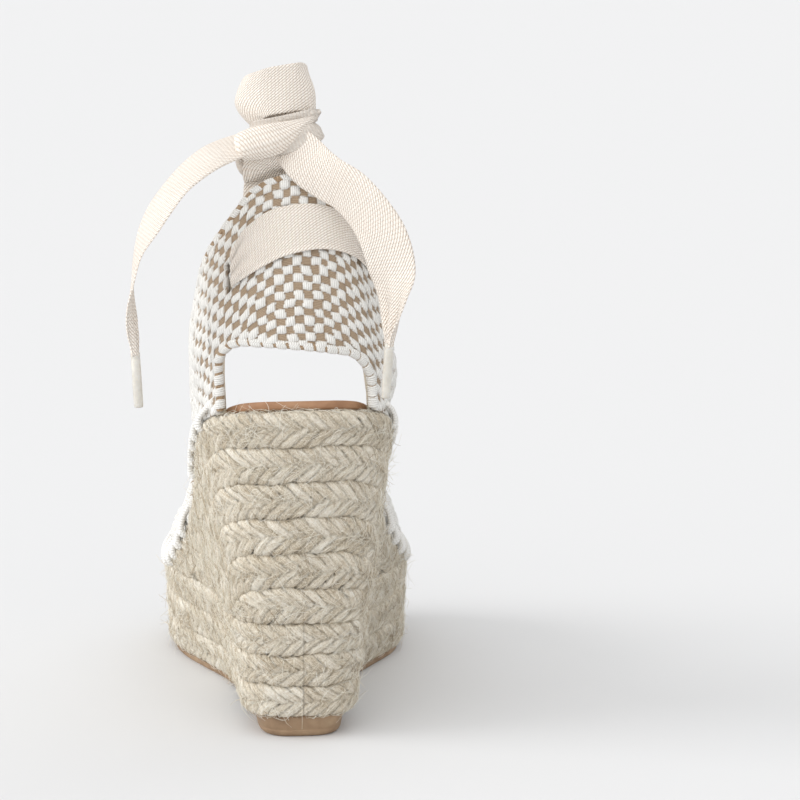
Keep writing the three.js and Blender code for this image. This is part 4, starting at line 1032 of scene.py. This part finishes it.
def collar_at(l, z, off=0.0):
    l, z = np.broadcast_arrays(np.asarray(l, float), np.asarray(z, float))
    x, s = collar_plan(l, z)
    x1, s1 = collar_plan(l + 0.2, z)
    x0, s0 = collar_plan(l - 0.2, z)
    dx, ds = x1 - x0, s1 - s0
    n = np.hypot(dx, ds)
    return np.stack([x + off * ds / n, s - off * dx / n, z], -1)


def collar_bottom(l):
    d = np.abs(l)
    _, bs = collar_base(l)
    low = top_edge(bs) + 0.5
    side, wide, high = (np.where(l < 0, a, b) for a, b in zip(OPENING_MEDIAL, OPENING_LATERAL))
    c = np.clip((d - side + wide) / wide, 0, 1)
    arch = OPENING_TOP + OPENING_TILT * l - 0.003 * l * l - high * (1 - np.sqrt(1 - c * c))
    return np.where(d >= side + 0.9, low, mix(arch, low, smooth(0, 0.9, d - side)))


M_FINE = 6
coarse_l, _from = [-COLLAR_REACH], -COLLAR_REACH
for _to, _count in ((-32.5, 28), (-30.7, 1), (-29.3, 1), (-28.4, 1), (22.0, 22), (23.8, 1), (32.0, 4), (32.9, 1), (COLLAR_REACH, 28)):
    coarse_l += list(np.linspace(_from, _to, _count + 1)[1:])
    _from = _to
coarse_l = np.array(coarse_l)
fine_l = np.concatenate([np.linspace(a, b, M_FINE, endpoint=False) for a, b in zip(coarse_l[:-1], coarse_l[1:])] + [[coarse_l[-1]]])
ROWS_C = 28
fine_b = np.linspace(0, 1, ROWS_C * M_FINE + 1)
slot_cells = []
for at, low_end, high_end in SLOTS:
    for i, (a, b) in enumerate(zip(coarse_l[:-1], coarse_l[1:])):
        if abs((a + b) / 2 - at) < 0.5:
            zb, zt = float(collar_bottom(np.array((a + b) / 2))), float(collar_top((a + b) / 2))
            for j in range(ROWS_C):
                z0, z1 = mix(zb, zt, j / ROWS_C), mix(zb, zt, (j + 1) / ROWS_C)
                if z0 > low_end and z1 < high_end:
                    slot_cells.append((i, j))


def collar_z(L, B):
    z0 = collar_bottom(L)
    return mix(z0, np.maximum(z0 + 3, collar_top(L)), B)


def collar_pattern(L, Z):
    d = np.abs(L)
    arch = 0.80 * (199 - collar_top(np.clip(L, -60, 60))) + 0.62 * np.maximum(d - 60, 0)
    r = Z + arch
    c = L * (1 + 0.0016 * (Z - 150))
    fat = 0.12 + (0.50 * smooth(20, 36, d) + 0.25 * smooth(36, 46, d)) * mix(0.35, 1.0, smooth(176, 146, Z))
    fat = fat + 0.9 * np.exp(-(((L - 22) / 6.5) ** 2 + ((Z - 141) / 6) ** 2)) + 0.6 * np.exp(-(((L - 33) / 5) ** 2 + ((Z - 150) / 6) ** 2))
    return c, r, np.clip(fat, 0, 1.6)


def collar_outer(L, B):
    Z = collar_z(L, B)
    c, r, fat = collar_pattern(L, Z)
    H, white, cav = basket(c, r, fat, 3.0)
    near_slot = sum(np.exp(-((L - at) / 1.3) ** 2) * smooth(lo_ - 1.5, lo_ + 1.5, Z) * smooth(hi_ + 1.5, hi_ - 1.5, Z) for at, lo_, hi_ in SLOTS)
    puff = 0.45 * np.sin(L * 0.11 + 1) * np.sin(Z * 0.09)
    # painted shade: near_slot also darkens the weave round each ribbon slot, where the cloth dips into it
    return 0.30 + 1.40 * H + 0.25 * puff - 0.5 * near_slot, {"wc": c, "wr": r, "white": white, "cav": np.maximum(cav, 0.35 * near_slot)}


shell("heel_collar", fine_l, fine_b, lambda L, B, off: collar_at(L, collar_z(L, B), off), -1.0, collar_outer, M_FINE,
      slot_cells, WEAVE, ["heel_collar"], "weave")


def plain_outer(level):
    def f(L, B):
        return np.full(L.shape, level), {"ra": L, "rc": B * 60}
    return f


two_l = np.concatenate([np.linspace(a, b, 2, endpoint=False) for a, b in zip(coarse_l[:-1], coarse_l[1:])] + [[coarse_l[-1]]])
two_b = np.linspace(0, 1, ROWS_C * 2 + 1)


def lining_attrs(L, B):
    Z = collar_z(L, B)
    return np.full(L.shape, -1.75) + 0.08 * np.sin(L * 0.8) * np.sin(Z * 0.7), {"ra": L, "rc": Z}


shell("collar_lining", two_l, two_b, lambda L, B, off: collar_at(L, mix(collar_z(L, 0 * B) + 0.2, collar_z(L, 0 * B + 1) - 0.2, B), off), -2.75, lining_attrs, 2,
      slot_cells, LINING, ["collar_lining"], "lining")


def wrapped(name, C, O, period, share, rx, ry, seed, dense=None, nodes=()):
    """Overcast edge: thread wound round an edge, in white wraps with short tan gaps."""
    run = run_of(C)
    n = int(run[-1] / 0.24)
    at = np.linspace(0, run[-1], n)
    C = np.stack([np.interp(at, run, C[:, i]) for i in range(3)], 1)
    O = np.stack([np.interp(at, run, O[:, i]) for i in range(3)], 1)
    sides = 18
    phi = np.arange(sides) / sides
    ph = (at[:, None] + 0.5 * wander(at, seed, 4, 25.0)[:, None]) / period + 0.10 * np.sin(2 * np.pi * phi)[None]
    k = np.floor(ph)
    f = ph - k
    sh = share * (0.9 + 0.2 * rnd(k, seed))
    if dense is not None:
        sh = np.maximum(sh, dense(at)[:, None])
    x = np.clip((f - 0.5) / (sh / 2), -1, 1)
    wrap = np.sqrt(np.clip(1 - np.abs(x) ** 3.2, 0, 1))
    white = smooth(0.05, 0.3, wrap)
    strands = 0.035 * np.cos(2 * np.pi * at[:, None] / 0.78 + 0 * f)
    scale = 0.80 + 0.20 * wrap + strands * wrap + 0.04 * (rnd(k, seed + 3) - 0.5)
    ends = np.sqrt(np.clip(1 - np.clip((1.2 - np.minimum(at, run[-1] - at)) / 1.2, 0, 1) ** 2, 0.02, 1))
    P, faces, ta, tc = hose(C, rx * scale * ends[:, None], sides, ry=ry * scale * ends[:, None], out=O)
    make(name, P, faces, WRAP, slot="thread", nodes=nodes, attrs={"ta": ta, "tc": tc, "white": white})


def outward(l, z):
    a, b = collar_at(l, z, 0.0), collar_at(l, z, 1.0)
    return b - a


l = np.linspace(-0.985, 0.985, 900) * COLLAR_REACH
slope = (collar_top(l + 0.5) - collar_top(l - 0.5))
z = collar_top(l) + 0.25 * np.sqrt(1 + slope ** 2)
wrapped("collar_topline_binding", collar_at(l, z, 0.15), outward(l, z), 5.6, 0.62, 1.55, 1.35, 5.0,
        dense=lambda at: 0.95 * (np.abs(at - at[-1] / 2) > 52), nodes=["collar_topline_binding"])

edge_l = np.linspace(-OPENING_MEDIAL[0] - 0.88, OPENING_LATERAL[0] + 0.88, 6001)
zb = collar_bottom(edge_l)
foot = top_edge(collar_base(edge_l)[1])
ok = zb > foot + 1.2
el, ez = edge_l[ok], zb[ok]
g = np.gradient(ez, el)
nn = np.sqrt(1 + g * g)
el2, ez2 = el + 0.35 * g / nn, ez - 0.35 / nn
C = collar_at(el2, ez2, 0.1)
wrapped("heel_opening_binding", C, outward(el2, ez2), 4.4, 0.78, 1.9, 1.6, 9.0,
        dense=lambda at: np.maximum(0.93 * (at < 34), 0.0), nodes=["heel_opening_binding"])

# vamp
lo, hi, vx0, vx1 = outline(lambda s: top_edge(s), UPPER_INSET)
vamp_rear = lambda q: mix(122, 108, np.abs(q) ** 2.2)
vamp_front = lambda q: mix(192, 207, np.abs(q) ** 2.0)
vamp_rise = curve1([[100, 47], [122, 43], [140, 39], [160, 33.5], [180, 28.5], [200, 25], [210, 23.5]])


def vamp_mid(a, b):
    q = 1 - 2 * a
    s = mix(vamp_rear(q), vamp_front(q), b)
    t = a * np.pi
    c, n = np.cos(t), np.sin(t)
    across = np.sign(c) * np.abs(c) ** 0.78
    return np.stack([mix(vx0(s), vx1(s), 0.5 + 0.5 * across), s, top_edge(s) + 0.5 + vamp_rise(s) * np.abs(n) ** 0.82], -1)


def vamp_at(A, B, off):
    e = 1e-3
    da = vamp_mid(np.minimum(1, A + e), B) - vamp_mid(np.maximum(0, A - e), B)
    db = vamp_mid(A, np.minimum(1, B + e)) - vamp_mid(A, np.maximum(0, B - e))
    N = unit(np.cross(da, db))
    P = vamp_mid(A, B)
    centre = np.stack([0 * A - 3, P[..., 1], 0 * A + 40], -1)
    N = N * np.sign(((P - centre) * N).sum(-1, keepdims=True))
    return P + N * np.asarray(off)[..., None]


va_raw = np.linspace(0, 1, 601)
line = vamp_mid(va_raw, 0 * va_raw + 0.5)
va_run = run_of(line)
NVC, NVB = 54, 28
va = np.interp(np.linspace(0, va_run[-1], NVC * M_FINE + 1), va_run, va_raw)
vb = np.linspace(0, 1, NVB * M_FINE + 1)


def vamp_outer(A, B):
    c = np.interp(A, va_raw, va_run) - va_run[-1] / 2
    P = vamp_mid(A, B)
    r = P[..., 1]
    d = np.abs(c)
    fat = 0.12 + 0.5 * smooth(30, 55, d)
    H, white, cav = basket(c, r, fat, 6.0)
    # painted shade: the crevice mask from basket darkens the vamp's weave in its dips
    return 0.30 + 1.40 * H + 0.12 * np.sin(c * 0.13) * np.sin(r * 0.11), {"wc": c, "wr": r, "white": white, "cav": cav}


shell("vamp", va, vb, vamp_at, -1.0, vamp_outer, M_FINE, [], WEAVE, ["vamp"], "weave")
va2, vb2 = va[::3], vb[::3]
shell("vamp_lining", va2, vb2, vamp_at, -2.75, lambda A, B: (np.full(A.shape, -1.8), {"ra": np.interp(A, va_raw, va_run), "rc": vamp_mid(A, B)[..., 1]}), 2,
      [], LINING, ["vamp_lining"], "lining")


def vamp_edge(name, b, shift, seed):
    a = np.linspace(0.015, 0.985, 700)
    C = vamp_mid(a, 0 * a + b) + np.array([0, shift, 0.1])
    O = vamp_at(a, 0 * a + b, np.ones(len(a))) - vamp_mid(a, 0 * a + b)
    wrapped(name, C, O, 4.9, 0.74, 1.65, 1.45, seed, dense=lambda at: 0.93 * ((at < 30) | (at > at[-1] - 30)), nodes=[name])


vamp_edge("throat_binding", 0.0, -0.3, 12.0)
vamp_edge("toe_binding", 1.0, 0.3, 15.0)


# ------------------------------------------------------------------ whip stitches
def stitches(name, side, s0, s1, pitch, height, seed):
    lo_, hi_, a0, a1 = outline(lambda s: top_edge(s), 0.0)
    rng = np.random.default_rng(int(seed))
    parts = Parts()
    slope = lambda s: (top_edge(s + 1) - top_edge(s - 1)) / 2
    for i, s in enumerate(np.arange(s0, s1, pitch)):
        s = s + rng.normal(0, 0.35)
        for twin in (-1, 1):
            lean = 2.4 if i % 2 else -2.4
            j = rng.normal(0, 0.15, 6)
            steps = [(1.6, height + 1.2, 1.0), (0.5, height * 0.86, 0.8), (-0.9, height * 0.5, 0.3), (-1.7, height * 0.12, -0.2), (-1.6, -1.6, -0.7), (0.2, -3.4, -1.0)]
            pts = []
            for (inset, h, f), w in zip(steps, j):
                sp = s + lean * f + twin * 0.95 + w
                e = (a1 if side > 0 else a0)(sp)
                pts.append([e - side * inset, sp, top_edge(s) + h + slope(s) * (sp - s)])
            C = centripetal(pts, np.linspace(0, 1, 22))
            f = np.linspace(0, 1, 22)
            r = 0.92 * np.sqrt(np.clip(1 - np.abs(2 * f - 1) ** 8, 0.15, 1)) * rng.uniform(0.92, 1.06)
            P, faces, ta, tc = hose(C, r, 10)
            parts.add(P, faces, {"ta": ta.ravel(), "tc": tc.ravel(), "white": 1.0})
    parts.make(name, STITCH, slot="thread", nodes=[name])


stitches("vamp_whipstitch_lateral", 1, 112, 204, 5.6, 6.5, 3)
stitches("vamp_whipstitch_medial", -1, 112, 204, 5.6, 6.5, 4)
stitches("collar_whipstitch_lateral", 1, 24, 76, 5.2, 4.6, 5)
stitches("collar_whipstitch_medial", -1, 24, 76, 5.2, 4.6, 6)

# ------------------------------------------------------------------ ribbon on the shoe
band_height, band_width = curve1([p[:2] for p in BAND]), curve1([[p[0], p[2]] for p in BAND])
nl, nw = 230, 41
bl = np.linspace(SLOTS[1][0] - 0.1, SLOTS[0][0] + 0.1, nl)
q = np.linspace(-0.5, 0.5, nw)
dive = smooth(3.4, 0.2, np.minimum(bl - bl[0], bl[-1] - bl))
near_end = smooth(13, 1, np.minimum(bl - bl[0], bl[-1] - bl))
BL = bl[:, None] + 0 * q[None]
BZ = band_height(BL) + q[None] * (band_width(bl) * (1 - 0.12 * dive))[:, None]
lie = 2.15 + 0.35 * np.sin(bl * 0.19 + 0.5)[:, None] * (0.3 + q[None]) + 0.5 * smooth(0.36, 0.5, -q)[None] * (1 - dive)[:, None]
gathers = (0.55 * near_end)[:, None] * np.sin(2 * np.pi * (2.6 * q[None] + 0.15 * np.sin(bl * 0.3)[:, None]) + 0.9)
boff = mix(lie + 0.45 * near_end[:, None] + gathers, -1.5 + 0 * lie, dive[:, None])
P = collar_at(BL, BZ, boff)
pts, faces, attrs = cloth(P, 0.75, across=q * RIBBON_WIDTH)
make("ribbon_heel_band", pts, faces, RIBBON, slot="ribbon", nodes=["ribbon_heel_band"], attrs=attrs)


def riser(name, side, depth, head, way, seed):
    inside = [*way, [head[0], 197]]
    centre = []
    for l, z in inside:
        qv = collar_at(np.array(side * l), np.array(float(z)), -(1.1 + 0.9 + 0.8 + depth))
        centre.append([qv[0], qv[1], z])
    centre.append([head[1], head[2] - 1.6, 201.6])
    centre.append([head[1] - 0.6, head[2] - 3.8, 206.0])
    centre.append([head[1] - 1.2, head[2] - 3.6, 211.4])
    n = 120
    f = np.linspace(0, 1, n)
    C = centripetal(centre, f)
    T = unit(np.gradient(C, axis=0))
    out = unit(np.stack([C[:, 0] - 2.4, C[:, 1] - 30, 0 * C[:, 2]], 1))
    g = smooth(188, 200, C[:, 2])[:, None]
    out = unit(out * (1 - g) + np.array([0.0, -1.0, 0.0]) * g)
    W = unit(np.cross(T, out))
    N = unit(np.cross(W, T))
    width = curve1([[0, 9], [.22, 12.5], [.5, 16], [.72, 16.5], [.84, 14.5], [1, 11]])(f)
    q = np.linspace(-1, 1, 25)
    wave = (0.5 * np.sin(q * 5 + seed) + 0.9 * (1 - q * q))[None] * smooth(0.55, 1, f)[:, None]
    P = C[:, None] + W[:, None] * (q[None] * width[:, None] / 2)[..., None] + N[:, None] * wave[..., None]
    pts, faces, attrs = cloth(P, 0.75, across=q * RIBBON_WIDTH / 2)
    make(name, pts, faces, RIBBON, slot="ribbon", nodes=[name], attrs=attrs)


riser("ribbon_riser_lateral", 1, 3.4, (9, 10.8, 16.4), [[21.6, 164.6], [19, 172], [15.4, 180.4], [12, 188.6]], 0.3)
riser("ribbon_riser_medial", -1, 5.2, (5, 1.5, 18.6), [[30.2, 168.4], [25, 174.4], [18.4, 182.6], [11.4, 190.4]], 1.9)

# ankle loop
n, m = 260, 33
t = np.arange(n) / n * 2 * np.pi
lx = 7 - 13.6 * np.sign(np.cos(t)) * np.abs(np.cos(t)) ** 0.8
ls = 23 - 9 * np.sign(np.sin(t)) * np.abs(np.sin(t)) ** 0.85
q = np.linspace(-1, 1, m)
lean = 0.9 * np.sin(t)[:, None] * q[None]
X = lx[:, None] + 0.35 * np.sin(3 * t)[:, None] * q[None]
S = ls[:, None] + lean + 0.5 * np.sin(2 * t + 1)[:, None] * (q ** 2)[None]
Z = 228.9 + q[None] * RIBBON_WIDTH / 2 - 0.13 * (lx - 5.3)[:, None] - 0.3 * (S - 14) + 0.4 * np.sin(2 * t)[:, None]
fold_side = smooth(8, 20.6, lx)[:, None] * np.where(q < 0, 6.6 * (-q) ** 1.7, 3.4 * np.abs(q) ** 1.6)[None]
X = X - fold_side + 2.6 * smooth(1, -6.6, lx)[:, None] * (smooth(-0.4, 1.0, q) ** 1.3)[None]
P = np.stack([X, S, Z + 0 * X], -1)
pts, faces, attrs = cloth(P, 0.75, closed=True, across=q * RIBBON_WIDTH / 2, along=run_of(P[:, m // 2]))
make("ribbon_ankle_loop", pts, faces, RIBBON, slot="ribbon", nodes=["ribbon_ankle_loop"], attrs=attrs)


# knot
def roll(points, seed, pleats):
    """Gathered roll of ribbon: points are x, s, z, half height, half depth."""
    f = np.linspace(0, 1, 110)
    A = np.array(points, float)
    C = centripetal(A[:, :3], f)
    hz = curve1([[i / (len(A) - 1), v] for i, v in enumerate(A[:, 3])])(f)
    hd = curve1([[i / (len(A) - 1), v] for i, v in enumerate(A[:, 4])])(f)
    sides = 72
    phi = np.arange(sides) / sides * 2 * np.pi
    T = unit(np.gradient(C, axis=0))
    O = np.broadcast_to(np.array([0.0, -1.0, 0.0]), C.shape)
    fold = 0.0
    for k, (cnt, amp) in enumerate(pleats):
        wv = np.sin(cnt * phi[None] + 1.3 * np.sin(2.2 * f[:, None] + seed + k) + seed * (k + 1))
        fold = fold + amp * wv
    grow = 1 + fold * (0.4 + 0.6 * smooth(0, 0.8, f))[:, None]
    P, faces, ta, tc = hose(C, hd[:, None] * grow, sides, ry=hz[:, None] * grow, out=O)
    around = np.mod(phi + np.pi, 2 * np.pi) * (hz.mean() + hd.mean()) / 2
    return P, faces, {"ra": np.broadcast_to(around[None], (110, sides)).ravel(), "rc": ta.ravel()}


def strip(points, widths, seed, facing=(0.0, -1.0, 0.0), m=25, n=90, thick=0.8, cupv=0.5, turn=None):
    f = np.linspace(0, 1, n)
    C = centripetal(points, f)
    T = unit(np.gradient(C, axis=0))
    W = unit(np.cross(T, np.array(facing)))
    N = unit(np.cross(W, T))
    if turn is not None:
        r = np.radians(curve1(turn)(f))[:, None]
        W, N = W * np.cos(r) + N * np.sin(r), N * np.cos(r) - W * np.sin(r)
    q = np.linspace(-1, 1, m)
    width = curve1(widths)(f)
    bend = cupv * (1 - q ** 2)[None] + 0.22 * np.sin(q * 5 + seed)[None] * np.sin(f * 6 + seed)[:, None]
    P = C[:, None] + W[:, None] * (q[None] * width[:, None] / 2)[..., None] + N[:, None] * bend[..., None]
    return cloth(P, thick, across=q * RIBBON_WIDTH / 2)


knot = Parts()
# the wrap across the front, blunt on the lateral side and pulled to a point on the medial side
knot.add(*roll([[20.8, 10.4, 209.5, 3.0, 1.6], [19.8, 9.8, 209.8, 4.8, 3.0], [15.3, 9.6, 210.9, 5.6, 3.6], [10, 9.6, 212.0, 5.7, 3.7],
                [4.9, 10.2, 213.5, 4.9, 3.3], [1.8, 10.8, 214.9, 3.9, 2.8], [-0.9, 11.6, 216.5, 2.7, 2.2], [-4.3, 12.6, 218.5, 1.5, 1.3], [-7.2, 13.4, 220.6, 0.5, 0.5]],
               0.6, [(3, 0.05), (5, 0.035), (9, 0.02)]))
# body of the knot behind it
knot.add(*roll([[16.4, 16.6, 209.6, 2.0, 1.6], [13.5, 16.8, 210.4, 4.6, 3.6], [7, 17, 211.4, 5.6, 4.0], [0, 17, 211.8, 5.4, 3.8], [-4.6, 16.6, 212.2, 3.8, 2.8], [-6.8, 16.2, 212.4, 1.4, 1.2]],
               1.9, [(4, 0.05), (7, 0.03)]))
# neck of the ankle loop
knot.add(*strip([[4.4, 15.6, 223.0], [4.4, 15.8, 219.5], [4.6, 15.6, 215.5], [5.0, 15.8, 210.5]], [[0, 17.5], [.4, 17.2], [.8, 15.5], [1, 13]], 0.4, cupv=-0.4))
# turn of ribbon under the loop's lower edge, above the wrap
knot.add(*strip([[15.6, 14.6, 215.0], [13.2, 13.2, 215.8], [8.5, 12.4, 216.6], [4, 12.5, 217.5], [-0.8, 13.0, 218.6], [-4.6, 13.8, 219.6], [-6.4, 15.4, 220.2]],
                [[0, 4], [.12, 5.6], [.5, 6.2], [.85, 5.4], [1, 4.4]], 0.7, cupv=0.7, turn=[[0, 12], [.5, 18], [1, 12]]))
# strand under the wrap on the medial side, over the root of the medial end
knot.add(*strip([[8.8, 12.4, 208.6], [5.0, 10.4, 209.6], [0.8, 9.4, 211.4], [-3.2, 9.8, 213.2], [-6.0, 11.6, 214.6], [-7.0, 14.4, 215.2]],
                [[0, 4.5], [.2, 5.0], [.45, 6.2], [.75, 7.2], [1, 6.6]], 1.1, cupv=0.8, turn=[[0, -10], [.5, -14], [1, -6]]))
# small folded corner that stands up on the medial side
knot.add(*strip([[-2.5, 13.2, 218.6], [-4.4, 13.0, 219.6], [-6.4, 12.8, 220.8], [-7.8, 12.9, 221.6]], [[0, 4.0], [.5, 3.4], [.9, 1.8], [1, 0.8]], 2.2, cupv=0.5, n=40))
# pale strand behind, on the lateral side
knot.add(*strip([[15.8, 17.0, 211.0], [17.6, 17.8, 206.8], [17.4, 18.6, 202.6], [15.6, 19.0, 200.2]], [[0, 7], [.5, 7], [1, 6]], 0.9, cupv=0.8, turn=[[0, 15], [1, 20]]))
knot.make("ribbon_knot", RIBBON, slot="ribbon", nodes=["ribbon_knot"])

# ------------------------------------------------------------------ CAD pieces kept: their finishes
for node, paint in (("wedge_core", CORK), ("insole_board", BOARD), ("insole_foam", FOAM), ("underside_panel", PANEL)):
    mesh = frame["nodes"][node].data
    mesh.materials.clear()
    mesh.materials.append(paint)

# ------------------------------------------------------------------ floor, light
me = bpy.data.meshes.new("floor")
me.from_pydata([(-60, -60, 0), (60, -60, 0), (60, 60, 0), (-60, 60, 0)], [], [(0, 1, 2, 3)])
floor = bpy.data.objects.new("floor", me)
bpy.context.scene.collection.objects.link(floor)
fp = Paint("floor", 0.9, Specular_IOR_Level=0.1)
fp.colour((0.745, 0.747, 0.752))
me.materials.append(fp.m)

world_ = bpy.data.worlds.new("studio")
bpy.context.scene.world = world_
world_.use_nodes = True
world_.node_tree.nodes["Background"].inputs[0].default_value = (1.0, 1.0, 1.0, 1)
world_.node_tree.nodes["Background"].inputs[1].default_value = 0.70


def sun(name, direction, strength, angle):
    d = bpy.data.lights.new(name, "SUN")
    d.energy, d.angle = strength, math.radians(angle)
    o = bpy.data.objects.new(name, d)
    bpy.context.scene.collection.objects.link(o)
    o.rotation_euler = Vector(direction).to_track_quat("Z", "Y").to_euler()


sun("key", (0.45, 0.95, 1.05), 0.92, 70)
sun("low", (0.10, 1.0, 0.12), 0.46, 70)
sun("side", (1.25, 0.05, 0.50), 1.55, 40)
sun("fill", (-0.6, -0.9, 0.9), 0.35, 60)
bpy.context.scene.view_settings.view_transform = "Standard"
